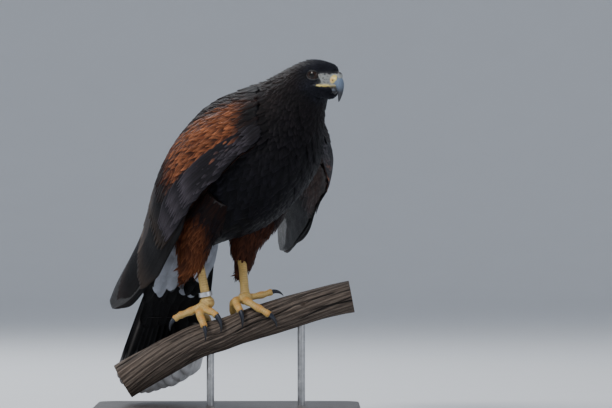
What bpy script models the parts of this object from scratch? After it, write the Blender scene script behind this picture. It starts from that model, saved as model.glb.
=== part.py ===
"""A life-size Harris hawk standing on a cut length of branch, on a plain display stand.

Metres, +Z up, with the origin on the floor under the middle of the base. +X runs up the branch and
-Y is the side that the bird's breast is turned towards. Each named part is one closed solid.
"""

from math import cos, pi, radians, sin

import bmesh
import bpy
import numpy as np

MM = 0.001

# Driving dimensions, in millimetres
TAIL_HALF_WIDTH_ROOT = 11.0
TAIL_HALF_WIDTH_TIP = 66.0
TAIL_ROUNDING = 32.0
TAIL_THICKNESS = 5.0
WING_THICKNESS_WRIST = 20.0
WING_THICKNESS_TIP = 5.0
EYE_RADIUS = 8.2
BAND_HEIGHT = 5.6
BAND_RADIUS = 8.4
BAND_WALL = 1.0
BAND_PLACE = 0.865
PALM_RADII = (9.0, 9.0, 8.0)
BASE_SIZE = (316.0, 236.0)
BASE_BACK = -40.0
BASE_HEIGHT = 14.0
BASE_CORNER = 26.0
ROD_RADIUS = 4.5
ROD_SINK = 9.0
ROD_PLACES = {"low": -20.0, "high": 88.0}

# The gap that touching solids keep
GAP = 0.35

# How far the perch stands from the middle of the base, so that the whole is centred
ACROSS = -58.9

# The bird's own frame: forward, left and up, from the top of the branch between the feet
HEADING = radians(45.0)
STANCE = np.array([-1.2, ACROSS, 121.2])
FORWARD = np.array([cos(HEADING), -sin(HEADING), 0.0])
LEFT = np.array([sin(HEADING), cos(HEADING), 0.0])
UP = np.array([0.0, 0.0, 1.0])

# Along the body: forward, up, half width, depth of the back, depth of the breast
BODY_STATIONS = (
    (-63.0, 96.0, 15.0, 11.0, 13.0),
    (-37.0, 114.0, 41.0, 38.0, 32.0),
    (-2.0, 138.0, 56.0, 57.0, 53.0),
    (30.0, 165.0, 63.0, 68.0, 66.0),
    (60.0, 192.0, 66.0, 74.0, 68.0),
    (86.0, 217.0, 61.0, 71.0, 63.0),
    (108.0, 240.0, 45.5, 54.0, 46.0),
    (127.0, 261.0, 33.0, 38.5, 34.0),
    (143.0, 275.5, 26.5, 27.5, 28.5),
    (155.0, 280.0, 23.5, 21.5, 26.0),
    (164.0, 280.5, 20.5, 18.0, 24.5),
    (172.0, 279.0, 16.0, 16.0, 23.0),
    (179.0, 278.0, 11.5, 13.0, 20.0),
    (184.5, 278.5, 8.5, 9.8, 14.0),
    (189.5, 281.5, 4.5, 4.0, 5.0),
)
NECK_FROM = 6.0
NECK_TO = 8.0
HEAD_CENTRE = np.array([153.0, 0.0, 285.0])

# Where the sculpted forms of the head are: forward, up, spread forward, spread up, height
BROW = (10.0, 5.6, 11.0, 4.2, 2.6)
EYE_HOLLOW = (11.5, -3.2, 8.0, 6.0, -1.6)
CHEEK = (4.0, -15.0, 10.0, 7.0, 1.6)

# The eye's centre from the head's centre
EYE_AT = (8.8, 14.4, -3.0)

# The bill's middle line: forward, up, half width, half height, in the head's frame
UPPER_BILL = (
    (25.0, -8.8, 8.0, 8.0),
    (30.5, -9.4, 7.2, 7.6),
    (34.2, -11.2, 6.0, 6.9),
    (36.6, -14.8, 4.7, 5.9),
    (37.5, -19.8, 3.5, 4.7),
    (37.2, -25.4, 2.4, 3.2),
    (36.0, -30.6, 1.4, 1.8),
    (34.9, -34.4, 0.4, 0.45),
)
LOWER_BILL = (
    (24.0, -19.4, 5.8, 3.2),
    (29.5, -20.0, 5.0, 2.9),
    (32.4, -21.2, 3.5, 2.0),
    (33.8, -22.2, 1.6, 0.8),
)

# One folded wing, in the bird's frame with its side as positive: the front and lower edge, then the
# upper edge along the back, from the wrist to the tip
WING_LOWER = (
    (96.0, 66.0, 199.0),
    (40.0, 86.0, 149.0),
    (0.0, 82.0, 113.0),
    (-33.0, 76.0, 75.0),
    (-62.0, 68.0, 47.0),
    (-103.0, 60.0, 18.0),
    (-141.0, 55.0, 6.0),
)
WING_UPPER = (
    (68.0, 34.0, 268.0),
    (6.0, 42.0, 244.0),
    (-49.0, 42.0, 189.0),
    (-88.0, 38.0, 133.0),
    (-113.0, 42.0, 84.0),
    (-136.0, 49.0, 44.0),
    (-148.0, 53.0, 17.0),
)
WING_BULGE = (10.0, 20.0, 21.0, 12.0, 8.0, 5.0, 1.0)

# The left wing is held out from the body and higher, about its shoulder
LEFT_PIVOT = (88.0, 56.0, 214.0)
LEFT_SPLAY = radians(37.5)
LEFT_LIFT = radians(15.5)
LEFT_ROLL = radians(0.0)

# The tail, in the bird's frame
TAIL_ROOT = np.array([-61.0, 0.0, 133.0])
TAIL_TIP = np.array([-143.0, 0.0, -97.0])

# The branch's middle line and radius, left to right, in the world
BRANCH = (
    (-124.0, ACROSS, 42.5, 21.4),
    (-109.0, ACROSS, 51.0, 21.4),
    (-72.0, ACROSS, 71.8, 20.6),
    (-38.0, ACROSS, 89.0, 19.8),
    (-10.0, ACROSS, 97.0, 19.0),
    (14.0, ACROSS, 105.4, 18.6),
    (58.0, ACROSS, 119.8, 19.6),
    (110.0, ACROSS, 134.8, 18.7),
    (148.0, ACROSS, 143.0, 19.0),
)

# Legs: heel, foot joint and the hanging tip of the trouser feathers, in the bird's frame
LEGS = {
    "right": {
        "trousers": (
            (30.0, -38.0, 150.0, 34.0),
            (2.0, -36.0, 122.0, 31.0),
            (-20.0, -33.0, 92.0, 24.0),
            (-28.0, -33.0, 66.0, 16.0),
            (-41.0, -33.0, 42.0, 4.0),
        ),
        "heel": (-24.0, -28.0, 87.0),
        "foot": (-15.0, -17.0, 15.0),
    },
    "left": {
        "trousers": (
            (44.0, 38.0, 148.0, 30.0),
            (22.0, 33.0, 118.0, 27.0),
            (2.0, 30.0, 88.0, 20.0),
            (-3.0, 30.0, 68.0, 12.5),
            (-10.0, 31.0, 50.0, 3.5),
        ),
        "heel": (-4.0, 28.0, 85.0),
        "foot": (16.0, 16.0, 20.0),
    },
}

# Toes, as points on the branch: along it, degrees round it towards the breast side, height over the bark
TOES = {
    "right": {
        "inner": ((-19.0, 8.0, 16.0), (-11.0, 22.0, 13.0), (-5.0, 36.0, 10.0)),
        "middle": ((-24.0, 16.0, 14.0), (-24.0, 36.0, 10.0), (-23.0, 58.0, 8.0)),
        "outer": ((-32.0, 6.0, 17.0), (-41.0, 10.0, 17.0), (-48.0, 14.0, 16.0)),
        "back": ((-22.0, -14.0, 13.0), (-19.0, -40.0, 10.0), (-18.0, -62.0, 8.0)),
    },
    "left": {
        "inner": ((21.0, 12.0, 14.0), (21.0, 30.0, 10.0), (22.0, 46.0, 8.0)),
        "middle": ((33.0, 26.0, 11.0), (43.0, 56.0, 7.5), (52.0, 80.0, 6.0)),
        "outer": ((35.0, -6.0, 12.0), (50.0, -8.0, 10.0), (62.0, -10.0, 10.0)),
        "back": ((18.0, -16.0, 13.0), (14.0, -42.0, 10.0), (12.0, -64.0, 8.0)),
    },
}
TOE_RADII = (5.2, 4.6, 3.9)
TOE_START = 1.3
CLAW_LENGTH = {"inner": 22.0, "middle": 18.0, "outer": 15.0, "back": 24.0}
CLAW_CURL = {"inner": 72.0, "middle": 62.0, "outer": 78.0, "back": 52.0}
CLAW_RADIUS = {"inner": 3.3, "middle": 2.8, "outer": 2.5, "back": 3.4}

BODY_SIDES = 26
RING_POINTS = 16


def through(values, at):
    """A natural cubic spline through evenly numbered rows of values, read at fractional rows."""
    values = np.asarray(values, float)
    count = len(values)
    matrix = np.zeros((count, count))
    right = np.zeros(values.shape)
    matrix[0, 0] = matrix[-1, -1] = 1.0
    for row in range(1, count - 1):
        matrix[row, row - 1 : row + 2] = (1.0, 4.0, 1.0)
        right[row] = 6.0 * (values[row - 1] - 2.0 * values[row] + values[row + 1])
    bends = np.linalg.solve(matrix, right)
    at = np.clip(np.atleast_1d(np.asarray(at, float)), 0.0, count - 1.0)
    low = np.minimum(at.astype(int), count - 2)
    b = at - low
    a = 1.0 - b
    shape = (-1,) + (1,) * (values.ndim - 1)
    a, b = a.reshape(shape), b.reshape(shape)
    return (
        a * values[low]
        + b * values[low + 1]
        + ((a**3 - a) * bends[low] + (b**3 - b) * bends[low + 1]) / 6.0
    )


def unit(vectors):
    """Rows scaled to length one."""
    vectors = np.asarray(vectors, float)
    return vectors / np.linalg.norm(vectors, axis=-1, keepdims=True)


def world(points):
    """Points of the bird's frame, forward, left and up, as world millimetres."""
    points = np.asarray(points, float)
    return STANCE + points @ np.array([FORWARD, LEFT, UP])


def clear_scene():
    for thing in list(bpy.data.objects):
        bpy.data.objects.remove(thing)


def material(name, colour, roughness, metallic=0.0):
    made = bpy.data.materials.get(name)
    if made is None:
        made = bpy.data.materials.new(name)
        made.use_nodes = True
        shader = made.node_tree.nodes["Principled BSDF"]
        shader.inputs["Base Color"].default_value = (*colour, 1.0)
        shader.inputs["Roughness"].default_value = roughness
        shader.inputs["Metallic"].default_value = metallic
    return made


def plumage():
    return material("dark_plumage", (0.035, 0.028, 0.026), 0.7)


def rufous():
    return material("rufous_plumage", (0.23, 0.075, 0.025), 0.75)


def yellow_skin():
    return material("yellow_skin", (0.72, 0.5, 0.16), 0.55)


def horn():
    return material("black_horn", (0.03, 0.035, 0.045), 0.3)


def wood():
    return material("weathered_wood", (0.16, 0.12, 0.09), 0.85)


def steel():
    return material("brushed_rod", (0.55, 0.55, 0.56), 0.35, 1.0)


def add_object(name, bm, surface, cutter=False):
    """Puts a bmesh, in millimetres, into the scene as an object in metres."""
    bmesh.ops.scale(bm, vec=(MM, MM, MM), verts=bm.verts)
    bmesh.ops.recalc_face_normals(bm, faces=bm.faces)
    mesh = bpy.data.meshes.new(name)
    bm.to_mesh(mesh)
    bm.free()
    made = bpy.data.objects.new(name, mesh)
    bpy.context.scene.collection.objects.link(made)
    mesh.materials.append(surface)
    mesh.shade_smooth()
    mesh.set_sharp_from_angle(angle=radians(40.0))
    if cutter:
        made.hide_render = True
        made.display_type = "WIRE"
    return made


def loft(name, rings, surface, cutter=False):
    """A closed solid through rings of equal length, capped with a face at each end."""
    bm = bmesh.new()
    rows = [[bm.verts.new(point) for point in ring] for ring in rings]
    sides = len(rows[0])
    for near, far in zip(rows, rows[1:]):
        for k in range(sides):
            after = (k + 1) % sides
            bm.faces.new((near[k], near[after], far[after], far[k]))
    bm.faces.new(rows[0])
    bm.faces.new(reversed(rows[-1]))
    return add_object(name, bm, surface, cutter)


def join(target, tool, operation):
    modifier = target.modifiers.new(f"{operation.lower()}_{tool.name}", "BOOLEAN")
    modifier.operation = operation
    modifier.solver = "EXACT"
    modifier.use_self = operation == "UNION"
    modifier.object = tool


def cut(target, *tools):
    for tool in tools:
        join(target, tool, "DIFFERENCE")


def ring_frames(path):
    """The direction of travel at each point of a path."""
    return unit(np.gradient(path, axis=0))


def tube_rings(path, widths, heights, up_hint, sides=RING_POINTS):
    """Elliptical rings square to a path, with their height towards the hint."""
    travel = ring_frames(path)
    side = unit(np.cross(up_hint, travel))
    rise = np.cross(travel, side)
    turn = np.linspace(0.0, 2.0 * pi, sides, endpoint=False)
    return (
        path[:, None]
        + side[:, None] * (np.asarray(widths)[:, None, None] * np.cos(turn)[None, :, None])
        + rise[:, None] * (np.asarray(heights)[:, None, None] * np.sin(turn)[None, :, None])
    )


def bumped(points, form):
    """Pushes the head's sides out, or in, round one place on each side of it."""
    ahead, up, spread_ahead, spread_up, height = form
    from_centre = points - HEAD_CENTRE
    weight = np.exp(
        -(((from_centre[..., 0] - ahead) / spread_ahead) ** 2)
        - (((from_centre[..., 2] - up) / spread_up) ** 2)
    )
    moved = points.copy()
    moved[..., 1] += np.sign(points[..., 1]) * height * weight
    return moved


def body_rings(first, last, count, grow=0.0, sides=BODY_SIDES):
    """Rings of the body from one station to another, in the bird's frame, grown by a clearance."""
    at = np.linspace(first, last, count)
    read = through(BODY_STATIONS, at)
    ahead = through(BODY_STATIONS, at + 0.05) - through(BODY_STATIONS, at - 0.05)
    travel = np.zeros((count, 3))
    travel[:, 0], travel[:, 2] = ahead[:, 0], ahead[:, 1]
    travel = unit(travel)
    side = np.array([0.0, 1.0, 0.0])
    back = np.cross(travel, side)
    turn = np.linspace(0.0, 2.0 * pi, sides, endpoint=False)
    centre = np.zeros((count, 3))
    centre[:, 0], centre[:, 2] = read[:, 0], read[:, 1]
    depth = np.where(np.sin(turn)[None] > 0.0, read[:, 3:4], read[:, 4:5]) + grow
    rings = (
        centre[:, None]
        + side * ((read[:, 2:3] + grow) * np.cos(turn)[None])[..., None]
        + back[:, None] * (depth * np.sin(turn)[None])[..., None]
    )
    for form in (BROW, EYE_HOLLOW, CHEEK):
        rings = bumped(rings, form)
    return rings


def build_head_neck_and_trunk():
    """Trunk, neck and head, three lengths of one form, with the eyes' sockets cut in the head."""
    last = len(BODY_STATIONS) - 1.0
    thin = GAP / 60.0
    loft("trunk", world(body_rings(0.0, NECK_FROM - thin, 15)), plumage())
    loft("neck", world(body_rings(NECK_FROM + thin, NECK_TO - thin, 5)), plumage())
    head = loft("head", world(body_rings(NECK_TO + thin, last, 14)), plumage())
    for name, side in (("right", -1), ("left", 1)):
        socket = ball(f"socket_{name}", side, EYE_RADIUS + GAP, horn(), True)
        cut(head, socket)
        ball(f"eye_{name}", side, EYE_RADIUS, material("dark_eye", (0.05, 0.02, 0.01), 0.1))


def ball(name, side, radius, surface, cutter=False):
    ahead, out, up = EYE_AT
    centre = world(HEAD_CENTRE + np.array([ahead, side * out, up]))
    bm = bmesh.new()
    bmesh.ops.create_icosphere(bm, subdivisions=2, radius=radius)
    bmesh.ops.translate(bm, vec=centre, verts=bm.verts)
    return add_object(name, bm, surface, cutter)


def bill_half(name, rows, grow=0.0, cutter=False):
    """A bill's half, tapering along its middle line from the face to its tip."""
    read = through(rows, np.linspace(0.0, len(rows) - 1.0, 2 * len(rows) - 1))
    path = HEAD_CENTRE + np.column_stack([read[:, 0], np.zeros(len(read)), read[:, 1]])
    travel = ring_frames(path)
    side = np.array([0.0, 1.0, 0.0])
    rise = np.cross(travel, side)
    turn = np.linspace(0.0, 2.0 * pi, 12, endpoint=False)
    rings = (
        path[:, None]
        + side * ((read[:, 2:3] + grow) * np.cos(turn)[None])[..., None]
        + rise[:, None] * ((read[:, 3:4] + grow) * np.sin(turn)[None])[..., None]
    )
    return loft(name, world(rings), horn(), cutter)


def build_bill():
    face = loft("face_cutter", world(body_rings(NECK_TO, len(BODY_STATIONS) - 1.0, 15, GAP)), horn(), True)
    cut(bill_half("bill_upper", UPPER_BILL), face)
    cut(bill_half("bill_lower", LOWER_BILL), face, bill_half("bill_cutter", UPPER_BILL, GAP, True))


def held_out(points):
    """Turns a left wing's points about its shoulder: out from the body, then up, then about its length."""
    pivot = np.array(LEFT_PIVOT)
    rolled = points - pivot
    c, s = cos(LEFT_ROLL), sin(LEFT_ROLL)
    rolled = rolled @ np.array([[1.0, 0.0, 0.0], [0.0, c, s], [0.0, -s, c]])
    c, s = cos(LEFT_LIFT), sin(LEFT_LIFT)
    rolled = rolled @ np.array([[c, 0.0, -s], [0.0, 1.0, 0.0], [s, 0.0, c]])
    c, s = cos(LEFT_SPLAY), sin(LEFT_SPLAY)
    rolled = rolled @ np.array([[c, -s, 0.0], [s, c, 0.0], [0.0, 0.0, 1.0]])
    return rolled + pivot


def wing_sheet(along, across):
    """The wing's outer surface, in the bird's frame with its side positive, on a grid of shares."""
    rows = np.asarray(along) * (len(WING_LOWER) - 1.0)
    low, high = through(WING_LOWER, rows), through(WING_UPPER, rows)
    bulge = through(WING_BULGE, rows)
    middle = (low + high) / 2.0
    length = unit(np.gradient(middle, axis=0))
    outward = unit(np.cross(high - low, length))
    outward *= np.sign(outward[:, 1:2])
    share = np.asarray(across)[None, :, None]
    arch = 4.0 * share * (1.0 - share)
    flat = low[:, None] * (1.0 - share) + high[:, None] * share
    return flat + outward[:, None] * bulge[:, None, None] * arch, outward


def shrunk(ring, share, ahead):
    """A ring drawn in towards its own middle and moved on, to round off the end of a loft."""
    middle = ring.mean(axis=0)
    return middle + (ring - middle) * share + ahead


def build_wing(name, side, pose, cutters):
    along = np.linspace(0.0, 1.0, 14)
    across = np.linspace(0.0, 1.0, 9)
    outer, outward = wing_sheet(along, across)
    thickness = WING_THICKNESS_WRIST + (WING_THICKNESS_TIP - WING_THICKNESS_WRIST) * along**0.6
    round_off = 0.25 + 0.75 * np.sin(pi * across) ** 0.5
    inner = outer - outward[:, None] * (thickness[:, None] * round_off[None])[..., None]
    rings = np.concatenate([outer, inner[:, ::-1]], axis=1)
    ahead = unit(rings[0].mean(axis=0) - rings[1].mean(axis=0))
    behind = unit(rings[-1].mean(axis=0) - rings[-2].mean(axis=0))
    front = [shrunk(rings[0], 0.45, ahead * 13.0), shrunk(rings[0], 0.8, ahead * 8.5)]
    back = [shrunk(rings[-1], 0.55, behind * 4.0)]
    rings = pose(np.concatenate([front, rings, back]))
    rings[..., 1] *= side
    wing = loft(name, world(rings), rufous())
    cut(wing, *cutters)
    return wing


def build_tail(cutters):
    """The fanned tail, arched across, with the pale coverts' swelling under its root."""
    share = np.linspace(0.0, 1.0, 12)
    length = unit(TAIL_TIP - TAIL_ROOT)
    side = np.array([0.0, 1.0, 0.0])
    back = np.cross(side, length)
    back *= np.sign(-back[0])
    across = np.linspace(-1.0, 1.0, 9)
    half = TAIL_HALF_WIDTH_ROOT + (TAIL_HALF_WIDTH_TIP - TAIL_HALF_WIDTH_ROOT) * share**0.5
    rounding = TAIL_ROUNDING * across**2
    reach = np.linalg.norm(TAIL_TIP - TAIL_ROOT) * share[:, None] - rounding[None] * share[:, None] ** 3
    top = (
        TAIL_ROOT
        + length * reach[..., None]
        + side * (half[:, None] * across[None])[..., None]
        - back * (9.0 * across**2)[None, :, None]
    )
    swelling = 20.0 * np.clip(1.0 - share / 0.55, 0.0, 1.0) * np.clip(share / 0.18, 0.0, 1.0)
    swell = TAIL_THICKNESS + swelling[:, None] * (1.0 - across[None] ** 2) ** 0.5
    under = top - back * swell[..., None]
    rings = np.concatenate([top, under[:, ::-1]], axis=1)
    tail = loft("tail", world(rings), plumage())
    cut(tail, *cutters)
    return tail


def branch_frame(x):
    """The branch's middle point, radius, direction and square directions where it passes x."""
    rows = np.linspace(0.0, len(BRANCH) - 1.0, 200)
    read = through(BRANCH, rows)
    at = np.interp(x, read[:, 0], rows)
    centre = through(BRANCH, at)[0]
    ahead = unit(through(BRANCH, at + 0.05)[0, :3] - through(BRANCH, at - 0.05)[0, :3])
    front = np.array([0.0, -1.0, 0.0])
    return centre[:3], centre[3], ahead, front, np.cross(ahead, -front)


def on_branch(x, degrees, height):
    centre, radius, _, front, top = branch_frame(x)
    turn = radians(degrees)
    return centre + (radius + height) * (front * sin(turn) + abs_up(top) * cos(turn))


def abs_up(direction):
    return direction * np.sign(direction[2])


def branch_rings(grow=0.0, sides=16):
    rows = np.linspace(0.0, len(BRANCH) - 1.0, 17)
    read = through(BRANCH, rows)
    turn = np.linspace(0.0, 2.0 * pi, sides, endpoint=False)
    path = read[:, :3]
    travel = ring_frames(path)
    front = np.array([0.0, -1.0, 0.0])
    top = unit(np.cross(front, travel))
    top *= np.sign(top[:, 2:3])
    radius = read[:, 3:4] + grow
    uneven = 1.0 + 0.03 * np.sin(3.0 * turn[None] + rows[:, None]) * np.cos(0.9 * rows[:, None])
    return path[:, None] + (front * np.sin(turn)[None, :, None] + top[:, None] * np.cos(turn)[None, :, None]) * (
        radius * uneven
    )[..., None]


def trouser_rings(name, grow=0.0):
    rows = through(LEGS[name]["trousers"], np.linspace(0.0, 4.0, 11))
    radii = rows[:, 3] + grow
    return world(tube_rings(rows[:, :3], radii * 0.88, radii, np.array([1.0, 0.0, 0.2])))


def shank_rings(name, grow=0.0):
    heel, foot = np.array(LEGS[name]["heel"]), np.array(LEGS[name]["foot"])
    share = np.linspace(0.0, 0.94, 7)
    path = heel + (foot - heel) * share[:, None]
    path[0] -= unit(foot - heel) * grow
    path[-1] += unit(foot - heel) * grow
    width = np.interp(share, (0.0, 0.15, 0.8, 0.94), (6.0, 4.9, 4.8, 5.4)) + grow
    return world(tube_rings(path, width, width * 1.12, np.array([1.0, 0.0, 0.2]), 12))


def build_leg(name, body_cutter):
    """The feathered trousers, the bare shank let into their end, and the foot below it."""
    trousers = loft(f"trousers_{name}", trouser_rings(name), rufous())
    shank_cutter = loft(f"shank_cutter_{name}", shank_rings(name, GAP), horn(), True)
    cut(trousers, body_cutter, shank_cutter)
    loft(f"tarsus_{name}", shank_rings(name), yellow_skin())
    build_foot(name, shank_cutter)


def build_foot(name, shank_cutter):
    joint = world(LEGS[name]["foot"])
    bm = bmesh.new()
    bmesh.ops.create_uvsphere(bm, u_segments=12, v_segments=7, radius=1.0)
    bmesh.ops.scale(bm, vec=PALM_RADII, verts=bm.verts)
    bmesh.ops.translate(bm, vec=joint, verts=bm.verts)
    palm = add_object(f"foot_{name}", bm, yellow_skin())
    for toe, points in TOES[name].items():
        path = np.array([joint] + [on_branch(*point) for point in points])
        path[0] += unit(path[1] - joint) * TOE_START
        path = through(path, np.linspace(0.0, 3.0, 7))
        radii = np.interp(np.linspace(0.0, 1.0, 7), (0.0, 0.5, 1.0), TOE_RADII)
        overall = unit(path[-1] - path[0])
        square = np.cross(overall, unit(np.cross(UP, overall)))
        rings = tube_rings(path, radii, radii * 0.95, square, 10)
        join(palm, loft(f"toe_{toe}_{name}", rings, yellow_skin(), True), "UNION")
        build_claw(name, toe, path[-2:])
    cut(palm, shank_cutter)


def build_claw(name, toe, end):
    """A claw, curling down from the end of its toe."""
    ahead = unit(end[-1] - end[-2])
    down = np.array([0.0, 0.0, -1.0])
    down = unit(down - ahead * (down @ ahead))
    side = np.cross(down, ahead)
    length, radius = CLAW_LENGTH[toe], CLAW_RADIUS[toe]
    share = np.linspace(0.0, 1.0, 7)
    bent = radians(CLAW_CURL[toe])
    curl = bent * share
    travel = ahead * np.cos(curl)[:, None] + down * np.sin(curl)[:, None]
    rise = np.cross(travel, side)
    bend = length / bent
    path = end[-1] + (ahead * np.sin(curl)[:, None] + down * (1.0 - np.cos(curl))[:, None]) * bend
    path = path + ahead * GAP
    taper = (radius * (1.0 - share**1.4) + 0.3)[:, None, None]
    turn = np.linspace(0.0, 2.0 * pi, 8, endpoint=False)[None, :, None]
    rings = path[:, None] + (side * np.cos(turn) * 0.85 + rise[:, None] * np.sin(turn)) * taper
    loft(f"claw_{toe}_{name}", rings, horn())


def build_band():
    """The plain metal ring worn loose round the right shank, just above the foot."""
    heel, foot = world(LEGS["right"]["heel"]), world(LEGS["right"]["foot"])
    down = unit(foot - heel)
    centre = heel + (foot - heel) * BAND_PLACE
    side = unit(np.cross(down, LEFT))
    turn = np.linspace(0.0, 2.0 * pi, 28, endpoint=False)[:, None]
    circle = side * np.cos(turn) + np.cross(down, side) * np.sin(turn)
    outer, inner = circle * BAND_RADIUS, circle * (BAND_RADIUS - BAND_WALL)
    up = -down * BAND_HEIGHT / 2.0
    rows = centre + np.array([outer - up, outer + up, inner + up, inner - up])
    bm = bmesh.new()
    rows = [[bm.verts.new(point) for point in row] for row in rows]
    for k in range(4):
        near, far = rows[k], rows[(k + 1) % 4]
        for j in range(28):
            after = (j + 1) % 28
            bm.faces.new((near[j], near[after], far[after], far[j]))
    add_object("leg_band", bm, steel())


def rod(name, place, grow=0.0, cutter=False):
    centre = branch_frame(place)[0]
    low, high = BASE_HEIGHT - ROD_SINK - grow, centre[2] + ROD_SINK / 3.0 + grow
    bm = bmesh.new()
    size = ROD_RADIUS + grow
    bmesh.ops.create_cone(bm, cap_ends=True, segments=24, radius1=size, radius2=size, depth=high - low)
    bmesh.ops.translate(bm, vec=(place, centre[1], (low + high) / 2.0), verts=bm.verts)
    return add_object(name, bm, steel(), cutter)


def build_perch_and_stand():
    """The cut branch on two upright rods, let into it and into the base."""
    bm = bmesh.new()
    bmesh.ops.create_cube(bm, size=1.0)
    bmesh.ops.scale(bm, vec=(*BASE_SIZE, BASE_HEIGHT), verts=bm.verts)
    bmesh.ops.translate(bm, vec=(0.0, BASE_BACK, BASE_HEIGHT / 2.0), verts=bm.verts)
    upright = [e for e in bm.edges if abs(e.verts[0].co.z - e.verts[1].co.z) > 1.0]
    bmesh.ops.bevel(bm, geom=upright, offset=BASE_CORNER, segments=6, affect="EDGES", profile=0.5)
    base = add_object("stand_base", bm, material("stand_wood", (0.05, 0.035, 0.025), 0.5))
    perch = loft("perch", branch_rings(), wood())
    for name, place in ROD_PLACES.items():
        rod(f"stand_rod_{name}", place)
        hole = rod(f"hole_{name}", place, GAP, True)
        cut(base, hole)
        cut(perch, hole)


def main():
    clear_scene()
    build_head_neck_and_trunk()
    build_bill()
    body_cutter = loft("body_cutter", world(body_rings(0.0, NECK_TO, 20, GAP)), horn(), True)
    cutters = [body_cutter]
    for name in LEGS:
        cutters.append(loft(f"trouser_cutter_{name}", trouser_rings(name, GAP), horn(), True))
        build_leg(name, body_cutter)
    build_tail(cutters)
    build_wing("wing_right", -1, lambda points: points, cutters)
    build_wing("wing_left", 1, held_out, cutters)
    build_band()
    build_perch_and_stand()


if __name__ == "__main__":
    main()
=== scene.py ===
"""Looks of a life-size Harris hawk that grips a cut branch on a plain display stand.

Shapes are worked out in millimetres, in the bird's own frame (forward, left, up from the top of the
branch between the feet) or in the world's, and become metres when a mesh is made. One skin stands for
the flesh. The plumage over it is rows of thin vanes that follow the surface they grow from.
"""

import logging
from dataclasses import dataclass, field
from enum import Enum
from math import cos, pi, radians, sin
from typing import Callable, Sequence

import bpy
import numpy as np
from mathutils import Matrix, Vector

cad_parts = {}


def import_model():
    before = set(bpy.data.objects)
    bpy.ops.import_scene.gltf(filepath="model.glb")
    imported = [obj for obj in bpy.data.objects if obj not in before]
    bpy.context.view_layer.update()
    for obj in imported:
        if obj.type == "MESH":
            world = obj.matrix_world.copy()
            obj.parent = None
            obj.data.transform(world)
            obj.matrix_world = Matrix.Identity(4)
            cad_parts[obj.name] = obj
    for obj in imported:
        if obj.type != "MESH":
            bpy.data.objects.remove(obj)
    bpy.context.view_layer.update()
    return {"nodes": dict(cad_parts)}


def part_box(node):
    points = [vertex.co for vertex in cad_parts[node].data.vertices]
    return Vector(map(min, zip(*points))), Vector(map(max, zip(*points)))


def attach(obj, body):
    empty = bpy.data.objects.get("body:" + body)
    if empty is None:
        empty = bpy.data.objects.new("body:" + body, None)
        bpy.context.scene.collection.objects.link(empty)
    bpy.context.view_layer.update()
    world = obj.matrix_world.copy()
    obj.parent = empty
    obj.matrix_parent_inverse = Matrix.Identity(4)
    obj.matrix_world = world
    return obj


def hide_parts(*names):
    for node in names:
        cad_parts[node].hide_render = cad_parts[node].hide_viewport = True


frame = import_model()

LOG = logging.getLogger("hawk")

Array = np.ndarray
Arrays = tuple[np.ndarray, ...]
Pair = tuple[float, float]
Triple = tuple[float, float, float]
Colour = Triple
Random = np.random.Generator
Material = bpy.types.Material
Mesh = bpy.types.Mesh
Object = bpy.types.Object
Socket = bpy.types.NodeSocket

MM = 0.001
COAT_MAP = "OFBake"
VANE_MAP = "Vane"
PIGMENT = "Pigment"
PATCH_SIZE = 0.003

# The bird's frame in the world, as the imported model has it
ACROSS = -58.9
HEADING = radians(45)
STANCE = np.array([-1.2, ACROSS, 121.2])
FORWARD = np.array([cos(HEADING), -sin(HEADING), 0])
LEFT = np.array([sin(HEADING), cos(HEADING), 0])
UP = np.array([0, 0, 1])
SIDE = np.array([0, 1, 0])
FRONT = np.array([0, -1, 0])
AHEAD = np.array([1, 0, 0])

# Along the body: forward, up, half width, depth of the back, depth of the breast
BODY_STATIONS = (
    (-63, 96, 15, 11, 13), (-37, 114, 41, 38, 32), (-2, 138, 56, 57, 53), (30, 165, 63, 68, 66),
    (60, 192, 66, 74, 68), (86, 217, 61, 71, 63), (108, 240, 45.5, 54, 46), (127, 261, 33, 38.5, 34),
    (143, 275.5, 26.5, 27.5, 28.5), (155, 280, 23.5, 21.5, 26), (164, 280.5, 20.5, 18, 24.5),
    (172, 279, 16, 16, 24), (179, 278, 11, 13, 21.5), (184.5, 278.5, 5.4, 9.8, 14.5),
    (191.3, 282.3, 3.2, 4, 3.2),
)
LAST_STATION = len(BODY_STATIONS) - 1
HEAD_CENTRE = np.array([153, 0, 285])

# Forms of the head: forward, up, spread forward, spread up, height
BROW = (10, 5.6, 11, 4.2, 2.6)
EYE_HOLLOW = (11.5, -3.2, 8, 6, -0.2)
CHEEK = (4, -15, 10, 7, 1.6)
EYE_AT = (8.8, 14.4, -3)
EYE_RADIUS = 8.2

# The bill's middle lines: forward, up, half width, half height, in the head's frame
UPPER_BILL = (
    (25, -8.8, 8, 8), (30.5, -9.4, 7.2, 7.6), (34.2, -11.2, 6, 6.9), (36.6, -14.8, 4.7, 5.9),
    (37.5, -19.8, 3.5, 4.7), (37.2, -25.4, 2.4, 3.2), (36, -30.6, 1.4, 1.8), (34.9, -34.4, 0.4, 0.45),
)
LOWER_BILL = (
    (24, -19.4, 5.8, 3.2), (29.5, -20, 5, 2.9), (32.4, -21.2, 3.5, 2), (33.8, -22.2, 1.6, 0.8),
)

# A folded wing's front and lower edge, its upper edge along the back, and its bulge between them
WING_LOWER = (
    (96, 66, 199), (40, 86, 149), (0, 82, 113), (-33, 76, 75), (-62, 68, 47), (-103, 60, 18),
    (-141, 55, 6),
)
WING_UPPER = (
    (68, 34, 268), (6, 42, 244), (-49, 42, 189), (-88, 38, 133), (-113, 42, 84), (-136, 49, 44),
    (-148, 53, 17),
)
WING_BULGE = (10, 20, 21, 12, 8, 5, 1)
WING_THICKNESS = (20, 5)
LEFT_PIVOT = np.array([88, 56, 214])
LEFT_SPLAY = radians(37.5)
LEFT_LIFT = radians(15.5)

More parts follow.
